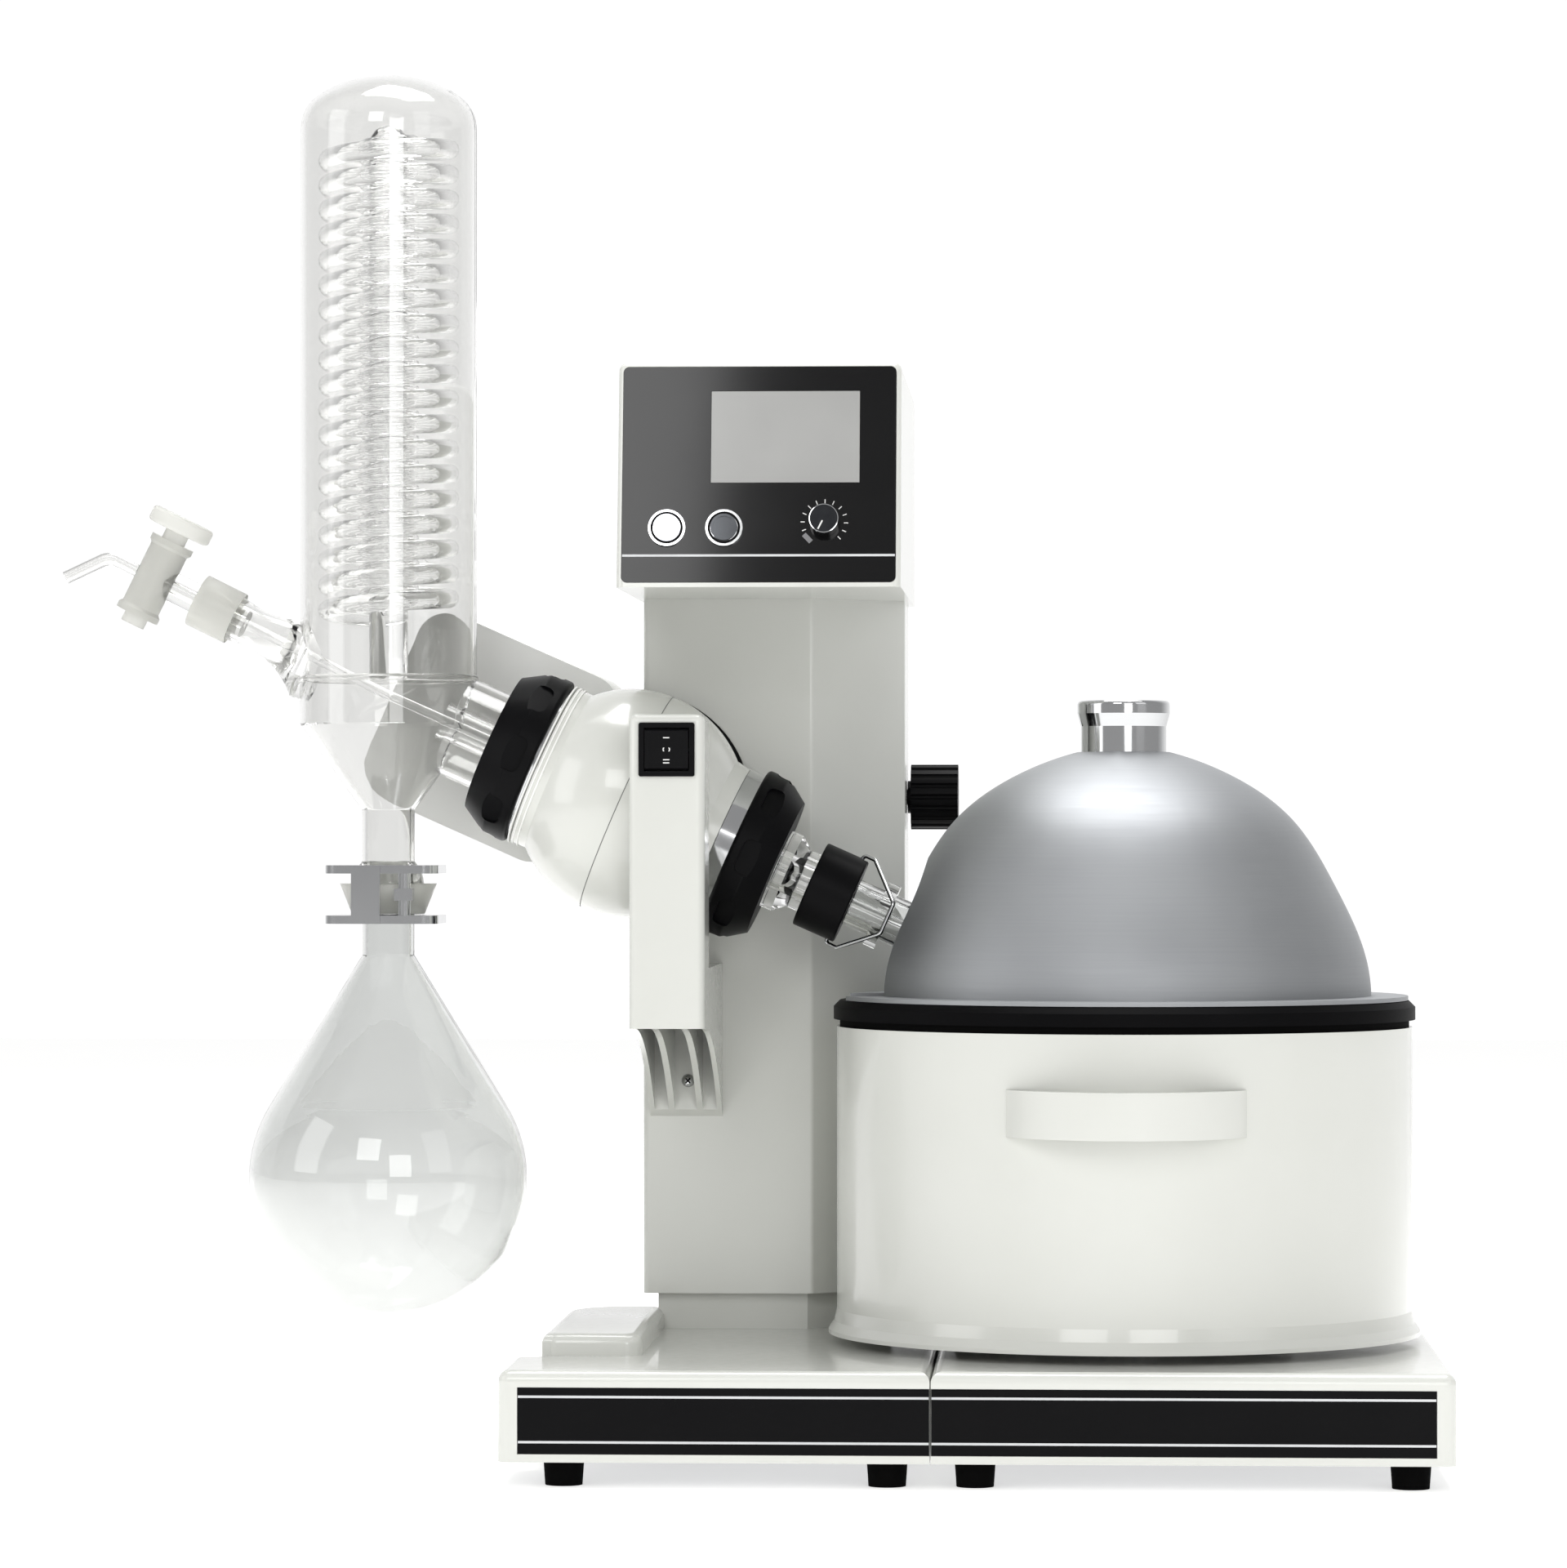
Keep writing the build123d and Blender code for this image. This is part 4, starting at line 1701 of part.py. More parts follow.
# Dark gasket between the tub and the pot's rim
with BuildPart() as bath_gasket:
    with BuildSketch(Plane.XY.offset(tub_top)):
        with Locations((TUB_X, 0)):
            Circle(TUB_RADIUS - GASKET_INSET)
            Circle(pot_radius + POT_WALL + PANEL_CLEARANCE, mode=Mode.SUBTRACT)
    extrude(amount=GASKET_HEIGHT)
save(bath_gasket, "bath_gasket")

# Pot with a rolled rim
pot_outside = pot_radius + POT_WALL
with BuildPart() as bath_pot:
    with BuildSketch(upright(TUB_X, 0)):
        with BuildLine():
            Polyline(
                (0, pot_floor),
                (pot_radius - POT_CORNER, pot_floor),
                (pot_radius, pot_floor + POT_CORNER),
                (pot_radius, rim_top),
                (rim_radius - RIM_ROUND, rim_top),
                (rim_radius, rim_top - RIM_ROUND),
                (rim_radius, rim_bottom),
                (pot_outside, rim_bottom),
                (pot_outside, pot_floor + POT_CORNER - POT_WALL / 2),
                (pot_radius - POT_CORNER + POT_WALL / 2, pot_floor - POT_WALL),
                (0, pot_floor - POT_WALL),
                close=True,
            )
        make_face()
    revolve(axis=tub_axis)
save(bath_pot, "bath_pot")

# Heating element, a ring under the pot's floor, and the temperature probe beside it
pot_underside = pot_floor - POT_WALL
with BuildPart() as heating_element:
    with BuildSketch(upright(TUB_X, 0)):
        with Locations((HEATER_RING, pot_underside - HEATER_TUBE - PANEL_CLEARANCE)):
            Circle(HEATER_TUBE)
    revolve(axis=tub_axis)
save(heating_element, "heating_element")

with BuildPart() as temperature_probe:
    with BuildSketch(Plane.XY.offset(tub_bottom + TUB_FLOOR)):
        with Locations((TUB_X + PROBE_OFFSET, 0)):
            Circle(PROBE_RADIUS)
    extrude(amount=pot_underside - tub_bottom - TUB_FLOOR - PANEL_CLEARANCE)
save(temperature_probe, "temperature_probe")

# Lid: a spun dome on a flat flange, notched on the left for the flask's neck
notch_wall = lid_radius - 4 * LID_FLANGE
notch_z = head_z - (TUB_X - notch_wall - HEAD_X) * math.tan(tilt)
dome_base = lid_bottom + LID_FLANGE


def dome_points(inset):
    """Dome outline from its foot to its flat crown, drawn in by an inset."""
    shape = [(1, 0), (0.985, 0.13), (0.855, 0.45), (0.685, 0.72), (0.435, 0.905)]
    foot = [((lid_radius - inset) * across, dome_base + (LID_RISE - inset) * up) for across, up in shape]
    return foot + [(LID_TOP_RADIUS, dome_base + LID_RISE - inset)]


with BuildPart() as bath_lid:
    with BuildSketch(upright(TUB_X, 0)):
        with BuildLine():
            Spline(*dome_points(0))
            Polyline(
                dome_points(0)[-1],
                (0, lid_top),
                (0, lid_top - LID_WALL),
                dome_points(LID_WALL)[-1],
            )
            Spline(*dome_points(LID_WALL))
            Polyline(
                dome_points(LID_WALL)[0],
                (lid_radius - LID_WALL, lid_bottom),
                (lid_flange_radius, lid_bottom),
                (lid_flange_radius, dome_base),
                dome_points(0)[0],
            )
        make_face()
    revolve(axis=tub_axis)
    with BuildSketch(Plane.YZ.offset(TUB_X - lid_flange_radius - LID_FLANGE)):
        with Locations((0, notch_z)):
            Circle(NOTCH_HALF_WIDTH)
            Rectangle(2 * NOTCH_HALF_WIDTH, LID_RISE, align=(Align.CENTER, Align.MAX))
    extrude(amount=lid_flange_radius - LID_TOP_RADIUS, mode=Mode.SUBTRACT)
save(bath_lid, "bath_lid")

# Turned knob on the crown of the lid
with BuildPart() as lid_knob:
    with BuildSketch(upright(TUB_X, 0)):
        with BuildLine():
            Polyline(
                (0, lid_top),
                (KNOB_WAIST, lid_top),
                (KNOB_WAIST, lid_top + KNOB_HEIGHT / 2),
                (KNOB_RADIUS, lid_top + 3 * KNOB_HEIGHT / 4),
                (KNOB_RADIUS, lid_top + KNOB_HEIGHT),
                (0, lid_top + KNOB_HEIGHT),
                close=True,
            )
        make_face()
    revolve(axis=tub_axis)
    fillet(lid_knob.edges().group_by(Axis.Z)[-1], LID_FLANGE)
save(lid_knob, "lid_knob")
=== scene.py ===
import math

import bmesh
import bpy
from mathutils import Matrix, Vector


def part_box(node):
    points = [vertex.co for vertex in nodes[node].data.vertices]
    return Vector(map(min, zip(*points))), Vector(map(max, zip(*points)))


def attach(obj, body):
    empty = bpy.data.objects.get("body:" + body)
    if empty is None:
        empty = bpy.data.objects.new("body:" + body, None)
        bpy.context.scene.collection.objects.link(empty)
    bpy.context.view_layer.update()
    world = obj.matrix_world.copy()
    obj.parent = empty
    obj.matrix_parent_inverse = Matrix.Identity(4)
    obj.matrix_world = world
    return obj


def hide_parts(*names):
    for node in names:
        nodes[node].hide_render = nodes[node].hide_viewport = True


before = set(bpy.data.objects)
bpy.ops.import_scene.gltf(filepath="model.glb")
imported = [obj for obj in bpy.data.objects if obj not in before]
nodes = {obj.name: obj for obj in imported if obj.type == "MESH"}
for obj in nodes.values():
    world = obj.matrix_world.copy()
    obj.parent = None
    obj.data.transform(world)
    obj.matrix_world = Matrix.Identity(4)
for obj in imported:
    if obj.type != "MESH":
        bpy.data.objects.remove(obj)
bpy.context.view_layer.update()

MM = 0.001
scene = bpy.context.scene

right = Vector((1, 0, 0))
front = Vector((0, -1, 0))
up = Vector((0, 0, 1))

# The drive axis runs from the head's ball down to the flask, and the feed axis up to the stopcock
drive_tilt = math.radians(24)
feed_tilt = math.radians(26.5)
head_centre = Vector((-0.055, 0, 0.315))
condenser_x = -0.174
drive_way = Vector((math.cos(drive_tilt), 0, -math.sin(drive_tilt)))
feed_way = Vector((-math.cos(feed_tilt), 0, math.sin(feed_tilt)))
plug_way = Vector((feed_way.z, 0, -feed_way.x))
cross_point = Vector((condenser_x, 0, head_centre.z + (head_centre.x - condenser_x) * math.tan(drive_tilt)))


def linear(code):
    """An sRGB hex colour as linear light."""
    knee, slope, offset, power = 0.04045, 12.92, 0.055, 2.4
    parts = [int(code[i : i + 2], 16) / 255 for i in (0, 2, 4)]
    return [p / slope if p <= knee else ((p + offset) / (1 + offset)) ** power for p in parts] + [1.0]


def add_node(tree, kind, settings=None, links=None):
    """One node with its settings, and links from other nodes' outputs to its inputs."""
    made = tree.nodes.new(kind)
    for key, value in (settings or {}).items():
        if isinstance(key, str) and hasattr(made, key):
            setattr(made, key, value)
        else:
            made.inputs[key].default_value = value
    for key, (source, output) in (links or {}).items():
        tree.links.new(source.outputs[output], made.inputs[key])
    return made


def new_material(name):
    """An empty material and its node tree."""
    made = bpy.data.materials.new(name)
    made.use_nodes = True
    made.node_tree.nodes.clear()
    return made, made.node_tree


first = 0
mix_factor, mix_from, mix_to, mix_result = 0, 6, 7, 2
even = (1, 1, 1)
turned = (1, 1, 6)
spun = (0.02, 0.02, 1)
drawn = (1, 1, 0.05)
glossy = {"IOR": 1.5}
dull = {"IOR": 1.5, "Specular IOR Level": 0.07}
matt = {"IOR": 1.5, "Specular IOR Level": 0.02}
bare_metal = {"Metallic": 1.0}


def surface(name, tones, cloud_mm, roughness, grain_mm, bump_mm, sockets, stretch=even):
    """An opaque surface: two tones in soft clouds under a grain that stirs its roughness and its relief."""
    made, tree = new_material(name)
    place = add_node(tree, "ShaderNodeTexCoord")
    cloud_scale = [1 / (cloud_mm * MM)] * 3
    cloud_map = add_node(tree, "ShaderNodeMapping", {"Scale": cloud_scale}, {"Vector": (place, "Object")})
    cloud_look = {"Scale": 1.0, "Detail": 2.0}
    cloud = add_node(tree, "ShaderNodeTexNoise", cloud_look, {"Vector": (cloud_map, first)})
    grain_scale = [k / (grain_mm * MM) for k in stretch]
    grain_map = add_node(tree, "ShaderNodeMapping", {"Scale": grain_scale}, {"Vector": (place, "Object")})
    grain_look = {"Scale": 1.0, "Detail": 3.0}
    grain = add_node(tree, "ShaderNodeTexNoise", grain_look, {"Vector": (grain_map, first)})
    ends = {"data_type": "RGBA", mix_from: linear(tones[0]), mix_to: linear(tones[1])}
    colour = add_node(tree, "ShaderNodeMix", ends, {mix_factor: (cloud, first)})
    span = {"To Min": roughness[0], "To Max": roughness[1]}
    shine = add_node(tree, "ShaderNodeMapRange", span, {"Value": (grain, first)})
    height = {"Distance": bump_mm * MM, "Strength": 0.5}
    relief = add_node(tree, "ShaderNodeBump", height, {"Height": (grain, first)})
    links = {"Base Color": (colour, mix_result), "Roughness": (shine, first), "Normal": (relief, first)}
    shader = add_node(tree, "ShaderNodeBsdfPrincipled", sockets, links)
    add_node(tree, "ShaderNodeOutputMaterial", links={"Surface": (shader, first)})
    return made


def glass(name, tint, wave_mm, bump_mm, roughness=0.0, index=1.47, clearness=1.0):
    """A see-through wall of one tint, its faces stirred by a wave that stands up by bump_mm."""
    made, tree = new_material(name)
    place = add_node(tree, "ShaderNodeTexCoord")
    wave_scale = [1 / (wave_mm * MM)] * 3
    wave_map = add_node(tree, "ShaderNodeMapping", {"Scale": wave_scale}, {"Vector": (place, "Object")})
    wave_look = {"Scale": 1.0, "Detail": 1.0}
    wave = add_node(tree, "ShaderNodeTexNoise", wave_look, {"Vector": (wave_map, first)})
    height = {"Distance": bump_mm * MM, "Strength": 0.3}
    relief = add_node(tree, "ShaderNodeBump", height, {"Height": (wave, first)})
    constants = {
        "Base Color": linear(tint),
        "Roughness": roughness,
        "IOR": index,
        "Transmission Weight": clearness,
    }
    shader = add_node(tree, "ShaderNodeBsdfPrincipled", constants, {"Normal": (relief, first)})
    add_node(tree, "ShaderNodeOutputMaterial", links={"Surface": (shader, first)})
    return made


# Powder-coated enamel: a warm white with a wet gloss and a very slight orange peel
white_paint = surface(
    "gloss_white_powder_coat", ("D0D1CB", "D6D7D2"),
    cloud_mm=60, roughness=(0.2, 0.26), grain_mm=5, bump_mm=0.01,
    sockets={"IOR": 1.5, "Coat Weight": 0.5, "Coat Roughness": 0.06},
)
# Moulded cover of the drive motor: a slightly duller white than the enamel, and a brighter one. The extra
# brightness is painted light that makes up for the shade the condenser glass casts on it.
housing_white_painted_light = surface(
    "moulded_white_abs", ("EDEEEA", "F2F2EF"),
    cloud_mm=60, roughness=(0.3, 0.38), grain_mm=1.5, bump_mm=0.02, sockets=glossy,
)
# Spark-eroded ABS: deep black with a fine leathery grain that breaks up the shine
black_plastic = surface(
    "spark_grained_black_abs", ("08080A", "0D0D0E"),
    cloud_mm=30, roughness=(0.34, 0.46), grain_mm=0.7, bump_mm=0.05, sockets=dull,
)
# Moulded rubber: a dead black that hardly shines
black_rubber = surface(
    "moulded_black_rubber", ("070707", "0C0C0C"),
    cloud_mm=30, roughness=(0.65, 0.8), grain_mm=1.2, bump_mm=0.05, sockets=matt,
)
# Back-printed acrylic: black under a clear polished face that mirrors the lamps softly
black_acrylic = surface(
    "gloss_black_acrylic", ("040405", "070708"),
    cloud_mm=40, roughness=(0.06, 0.09), grain_mm=40, bump_mm=0.001,
    sockets={"IOR": 1.49, "Specular IOR Level": 0.4},
)
# Turned fluoropolymer: waxy white
white_polymer = surface(
    "turned_ptfe", ("E9E9E6", "F4F4F2"),
    cloud_mm=30, roughness=(0.35, 0.45), grain_mm=1.5, bump_mm=0.05, sockets={"IOR": 1.35},
)
# Baked coating on the pot: satin black with a faint speckle
dark_coating = surface(
    "baked_black_coating", ("0A0A0B", "101011"),
    cloud_mm=30, roughness=(0.4, 0.5), grain_mm=1, bump_mm=0.04, sockets=matt,
)
# Flame-polished borosilicate: colourless on the coil. On the jacket and the flask, a grey tint is painted
# shade that stands in for a grey backdrop seen through the glass.
clear_glass = glass("clear_borosilicate_glass", "FEFEFE", wave_mm=45, bump_mm=0.15)
jacket_glass = glass("borosilicate_jacket_painted_grey_shade", "F1F1F0", wave_mm=60, bump_mm=0.15)
flask_glass = glass("borosilicate_flask_painted_grey_shade", "E7E8E7", wave_mm=70, bump_mm=0.2)
# Ground joints: milky, lit from inside, with a fine grit
frosted_glass = glass(
    "ground_borosilicate_glass", "EFEFEA", wave_mm=0.8, bump_mm=0.05, roughness=0.4, index=1.3, clearness=0.6
)
# Rolled stainless steel: a bright mirror that is a little cloudy
polished_steel = surface(
    "polished_stainless_steel", ("C2C3C5", "D0D1D2"),
    cloud_mm=35, roughness=(0.08, 0.14), grain_mm=0.5, bump_mm=0.004, sockets=bare_metal,
)
# Turned steel: grey, with fine tool marks round the axis
plain_steel = surface(
    "turned_steel", ("A9AAAC", "B8B9BB"),
    cloud_mm=35, roughness=(0.24, 0.38), grain_mm=0.4, bump_mm=0.01, sockets=bare_metal, stretch=turned,
)
# Chrome on the bezels: the brightest and sharpest mirror of all
chrome_plate = surface(
    "chromed_brass", ("D8D9DB", "E4E5E6"),
    cloud_mm=35, roughness=(0.05, 0.09), grain_mm=0.8, bump_mm=0.002, sockets=bare_metal,
)
# Spun lid: a soft broad sheen with level rings round the dome
satin_aluminium = surface(
    "spun_satin_aluminium", ("9B9DA0", "A6A8AA"),
    cloud_mm=50, roughness=(0.5, 0.62), grain_mm=0.9, bump_mm=0.012, sockets=bare_metal, stretch=spun,
)
# Unlit button: a dark mirror
smoked_chrome = surface(
    "smoked_chrome", ("4C4E51", "5A5C5F"),
    cloud_mm=35, roughness=(0.06, 0.1), grain_mm=0.8, bump_mm=0.002, sockets=bare_metal,
)
# Knob face: nearly black metal with a fine sparkle
dark_aluminium = surface(
    "dark_turned_aluminium", ("1E1F21", "2A2B2D"),
    cloud_mm=4, roughness=(0.2, 0.3), grain_mm=0.3, bump_mm=0.006, sockets=bare_metal,
)
# Pulleys: pale satin metal with drawn streaks
drawn_aluminium = surface(
    "anodised_aluminium", ("B9BABC", "C4C5C6"),
    cloud_mm=35, roughness=(0.24, 0.36), grain_mm=0.3, bump_mm=0.008, sockets=bare_metal, stretch=drawn,
)
# Lift nut: yellow metal with tool marks round the axis
turned_brass = surface(
    "turned_brass", ("B08D4A", "C29E57"),
    cloud_mm=35, roughness=(0.22, 0.34), grain_mm=0.4, bump_mm=0.01, sockets=bare_metal, stretch=turned,
)
# Liquid-crystal window, unlit: silver grey, a faint grain under a satin film
screen_film = surface(
    "reflective_display_film", ("8E8E8C", "A2A2A0"),
    cloud_mm=50, roughness=(0.28, 0.34), grain_mm=0.6, bump_mm=0.005,
    sockets={"Coat Weight": 0.4, "Coat Roughness": 0.08},
)
# Backlit button face: a soft even glow
white_glow = surface(
    "backlit_white_lens", ("F4F6FF", "FFFFFF"),
    cloud_mm=4, roughness=(0.3, 0.4), grain_mm=2, bump_mm=0.005,
    sockets={"Emission Color": linear("F4F6FF"), "Emission Strength": 0.6},
)
# Solder-masked board: green with a faint weave
board_green = surface(
    "solder_masked_board", ("0E4A2A", "16613A"),
    cloud_mm=1.2, roughness=(0.35, 0.45), grain_mm=1.2, bump_mm=0.02, sockets=glossy,
)
# Screen prints: thin and flat, from bright silver to a quiet grey
silver_print = surface(
    "silver_screen_print", ("C4C6C8", "D4D5D6"),
    cloud_mm=30, roughness=(0.35, 0.45), grain_mm=1, bump_mm=0.01, sockets=glossy,
)
grey_print = surface(
    "grey_screen_print", ("7C7C7E", "88888A"),
    cloud_mm=30, roughness=(0.45, 0.55), grain_mm=1, bump_mm=0.01, sockets=dull,
)
white_print = surface(
    "screen_printed_white", ("DADAD8", "E6E6E4"),
    cloud_mm=30, roughness=(0.45, 0.55), grain_mm=1, bump_mm=0.01, sockets=glossy,
)
# Seam between the head's shells: a soft grey line
seam_shadow = surface(
    "seam_shadow_line", ("6E6E6C", "7A7A78"),
    cloud_mm=30, roughness=(0.55, 0.65), grain_mm=1, bump_mm=0.01, sockets=dull,
)

finishes = {
    white_paint: [
        "base_housing", "bath_base_housing", "column_sleeve", "control_box", "switch_arm", "arm_bracket",
        "head_shell_left", "head_shell_right", "bath_shell", "bath_handle", "inner_column",
    ],
    # Motor cover: a brighter white, painted light against the shade of the glass
    housing_white_painted_light: ["motor_housing"],
    black_plastic: [
        "base_front_panel", "bath_front_panel", "mains_inlet", "clamp_knob", "rocker_bezel", "rocker",
        "friction_disc", "condenser_nut", "spindle_nut", "flask_clamp",
    ],
    black_rubber: ["feet", "drive_belt", "bath_gasket"],
    black_acrylic: ["control_panel", "speed_knob"],
    white_polymer: ["shaft_seal"],
    dark_coating: ["bath_pot"],
    clear_glass: ["vapour_tube", "cooling_coil", "feed_tube"],
    jacket_glass: ["condenser_glass", "stopcock_barrel"],
    flask_glass: ["receiver_flask", "evaporating_flask"],
    frosted_glass: ["stopcock_plug"],
    polished_steel: [
        "joint_clamp", "flask_bail", "lid_knob", "clamp_screw", "thread_ring", "spindle", "tilt_pivot",
    ],
    plain_steel: [
        "bottom_plates", "lift_motor", "lift_screw", "drive_motor", "head_bearings", "heating_element",
        "temperature_probe",
    ],
    chrome_plate: ["button_bezels"],
    smoked_chrome: ["heat_button"],
    white_glow: ["power_button"],
    satin_aluminium: ["bath_lid"],
    drawn_aluminium: ["motor_pulley", "spindle_pulley"],
    turned_brass: ["lift_nut"],
    screen_film: ["display_screen"],
    board_green: ["control_board"],
}
for finish, names in finishes.items():
    for name in names:
        nodes[name].data.materials.clear()
        nodes[name].data.materials.append(finish)

# Edges that bend by less than these degrees look round, and points nearer than these metres are one
crisp_bend, soft_bend, tube_bend = 35, 50, 60
weld, turn_weld = 1e-6, 1e-5
# Facets round a full turn, from the smallest spun pieces to the largest
small_steps, socket_steps, button_steps, jacket_steps, shell_steps = 40, 48, 56, 96, 120


def axis_frame(origin, along, side):
    """A matrix whose Z runs along a given way from origin and whose X is nearest to side."""
    z = along.normalized()
    x = (side - z * side.dot(z)).normalized()
    y = z.cross(x)
    made = Matrix((x, y, z)).transposed().to_4x4()
    made.translation = origin
    return made


def finish_piece(name, mesh, body, material, smooth_angle=crisp_bend):
    """A bmesh made an object of its own that rides on a body."""
    bmesh.ops.remove_doubles(mesh, verts=mesh.verts, dist=weld)
    bmesh.ops.recalc_face_normals(mesh, faces=mesh.faces)
    for face in mesh.faces:
        face.smooth = True
    for edge in mesh.edges:
        edge.smooth = len(edge.link_faces) == 2 and edge.calc_face_angle(0) < math.radians(smooth_angle)
    data = bpy.data.meshes.new(name)
    mesh.to_mesh(data)
    mesh.free()
    data.materials.append(material)
    made = bpy.data.objects.new(name, data)
    scene.collection.objects.link(made)
    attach(made, body)
    return made


def spun_piece(name, profile, place, steps, body, material, smooth_angle=crisp_bend):
    """A closed (radius, height) outline in mm spun all round the Z of place."""
    mesh = bmesh.new()
    corners = [mesh.verts.new((r * MM, 0, h * MM)) for r, h in profile]
    outline = [mesh.edges.new((a, b)) for a, b in zip(corners, corners[1:] + corners[:1])]
    bmesh.ops.spin(
        mesh, geom=corners + outline, axis=up, cent=(0, 0, 0), steps=steps, angle=math.tau, use_merge=True
    )
    bmesh.ops.transform(mesh, matrix=place, verts=mesh.verts)
    return finish_piece(name, mesh, body, material, smooth_angle)


def block_piece(name, size, places, body, material):
    """Blocks of one size (mm), one centred on each place."""
    mesh = bmesh.new()
    scale = Matrix.Diagonal([k * MM for k in size] + [1])
    for place in places:
        bmesh.ops.create_cube(mesh, size=1.0, matrix=place @ scale)
    return finish_piece(name, mesh, body, material)


def band(inner, outer, low, high):
    """The square outline of a flat ring, as (radius, height)."""
    return [(inner, low), (outer, low), (outer, high), (inner, high)]


def dome(radius, height):
    """A quarter circle from a rim at height up to the axis, as (radius, height)."""
    angles = (0.0, 0.4, 0.8, 1.2)
    return [(radius * math.cos(a), height + radius * math.sin(a)) for a in angles] + [(0.0, height + radius)]


def wound_piece(name, radius, tube, pitch, turns, bottom, ring_steps, turn_steps):
    """A hollow glass tube wound up the condenser's axis from behind it: one turn, copied up by the pitch."""
    tube_per_wall = 4.5
    mesh = bmesh.new()
    across = Matrix.Translation((0, radius * MM, 0)) @ Matrix.Rotation(math.pi / 2, 4, "Y")
    for bore in (tube, tube - tube / tube_per_wall):
        ring = bmesh.ops.create_circle(mesh, segments=ring_steps, radius=bore * MM, matrix=across)["verts"]
        bmesh.ops.spin(
            mesh,
            geom=ring + list({edge for vert in ring for edge in vert.link_edges}),
            axis=up,
            cent=(0, 0, 0),
            dvec=(0, 0, pitch * MM / turn_steps),
            steps=turn_steps,
            angle=math.tau,
        )
    one_turn = mesh.verts[:] + mesh.edges[:] + mesh.faces[:]
    for turn in range(1, turns):
        copied = bmesh.ops.duplicate(mesh, geom=one_turn)["geom"]
        lifted = [g for g in copied if isinstance(g, bmesh.types.BMVert)]
        bmesh.ops.translate(mesh, verts=lifted, vec=(0, 0, turn * pitch * MM))
    bmesh.ops.remove_doubles(mesh, verts=mesh.verts, dist=turn_weld)
    half_height = pitch * turns * MM / 2
    for lower in (True, False):
        rims = [e for e in mesh.edges if e.is_boundary and (e.verts[0].co.z < half_height) == lower]
        bmesh.ops.bridge_loops(mesh, edges=rims)
    bmesh.ops.translate(mesh, verts=mesh.verts, vec=(condenser_x, 0, bottom * MM))
    return finish_piece(name, mesh, "head", clear_glass, tube_bend)


# Cooling coil: an outer and an inner winding of thin glass tube round a closed core tube
coil_pitch, coil_turns, coil_bottom = 12.2, 19, 406.2
inner_lift = 3.0
outer_coil = wound_piece(
    "outer_coil", radius=29.75, tube=4.75, pitch=coil_pitch, turns=coil_turns, bottom=coil_bottom,
    ring_steps=14, turn_steps=40,
)
wound_piece(
    "inner_coil", radius=12.5, tube=2.6, pitch=coil_pitch / 2, turns=2 * coil_turns,
    bottom=coil_bottom + inner_lift, ring_steps=10, turn_steps=24,
)
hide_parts("cooling_coil")

# Core tube inside the windings, with a domed end
core_radius, core_wall, core_length = 9.5, 1.2, 262
core_foot = Vector((condenser_x, 0, 0.3755))
core_bore = core_radius - core_wall
core_outside = [(0, 0), (core_radius, 0)] + dome(core_radius, core_length)
core_inside = dome(core_bore, core_length)[::-1] + [(core_bore, core_wall), (0, core_wall)]
spun_piece(
    "core_tube", core_outside + core_inside, axis_frame(core_foot, up, right), small_steps,
    "head", clear_glass, soft_bend,
)

# Ground-glass zones, as skins just outside the glass: feed socket, cup of the ball joint, ends of the stopcock
socket_skin = [(13.05, 84), (13.25, 84.4), (13.25, 104.6), (13.05, 105)]
socket_frame = axis_frame(cross_point, feed_way, front)
spun_piece("feed_socket_frost", socket_skin, socket_frame, socket_steps, "head", frosted_glass)
cup_skin = [(17.6, 261.2), (17.8, 261.2), (23.6, 275.8), (23.45, 276.0)]
cup_frame = axis_frame(Vector((condenser_x, 0, 0)), up, front)
spun_piece("joint_cup_frost", cup_skin, cup_frame, button_steps, "head", frosted_glass)
stopcock_reach = 128.5
stopcock_frame = axis_frame(cross_point + feed_way * stopcock_reach * MM, plug_way, front)
half_sleeve = [(9.4, 15.7), (10.8, 17.2), (10.8, 20.05), (11.0, 20.05), (11.0, 17.1), (9.6, 15.6)]
whole_sleeve = half_sleeve + [(r, -h) for r, h in reversed(half_sleeve)]
spun_piece("stopcock_frost", whole_sleeve, stopcock_frame, socket_steps, "head", frosted_glass)

# Ring seal round the jacket, where the coil's tails are fused into it
seal_radius, seal_proud, seal_half_height = 43.3, 0.7, 1.6
seal_foot = Vector((condenser_x, 0, 0.376))
seal_angles = (0.0, 0.5, 1.0, 1.57, 2.14, 2.64, math.pi)
seal = [(seal_radius + seal_proud * math.sin(a), seal_half_height * math.cos(a)) for a in seal_angles]
seal_frame = axis_frame(seal_foot, up, front)
spun_piece("ring_seal", seal, seal_frame, jacket_steps, "head", jacket_glass, tube_bend)

# Threads between the head's collar and the condenser nut
thread_count, thread_start, thread_pitch = 3, 47.2, 2.3
thread = [(37.8, -0.9), (41.4, -0.35), (41.4, 0.35), (37.8, 0.9)]
for index in range(thread_count):
    back = thread_start - thread_pitch * index
    place = axis_frame(head_centre - drive_way * back * MM, drive_way, front)
    spun_piece(f"collar_thread_{index}", thread, place, jacket_steps, "head", white_polymer)

# Seam between the head's half shells
seam_back, seam_inner, seam_outer, seam_half = 2, 55.7, 56.02, 0.22
seam_frame = axis_frame(head_centre - drive_way * seam_back * MM, drive_way, front)
seam = band(seam_inner, seam_outer, -seam_half, seam_half)
spun_piece("shell_seam", seam, seam_frame, shell_steps, "head", seam_shadow)

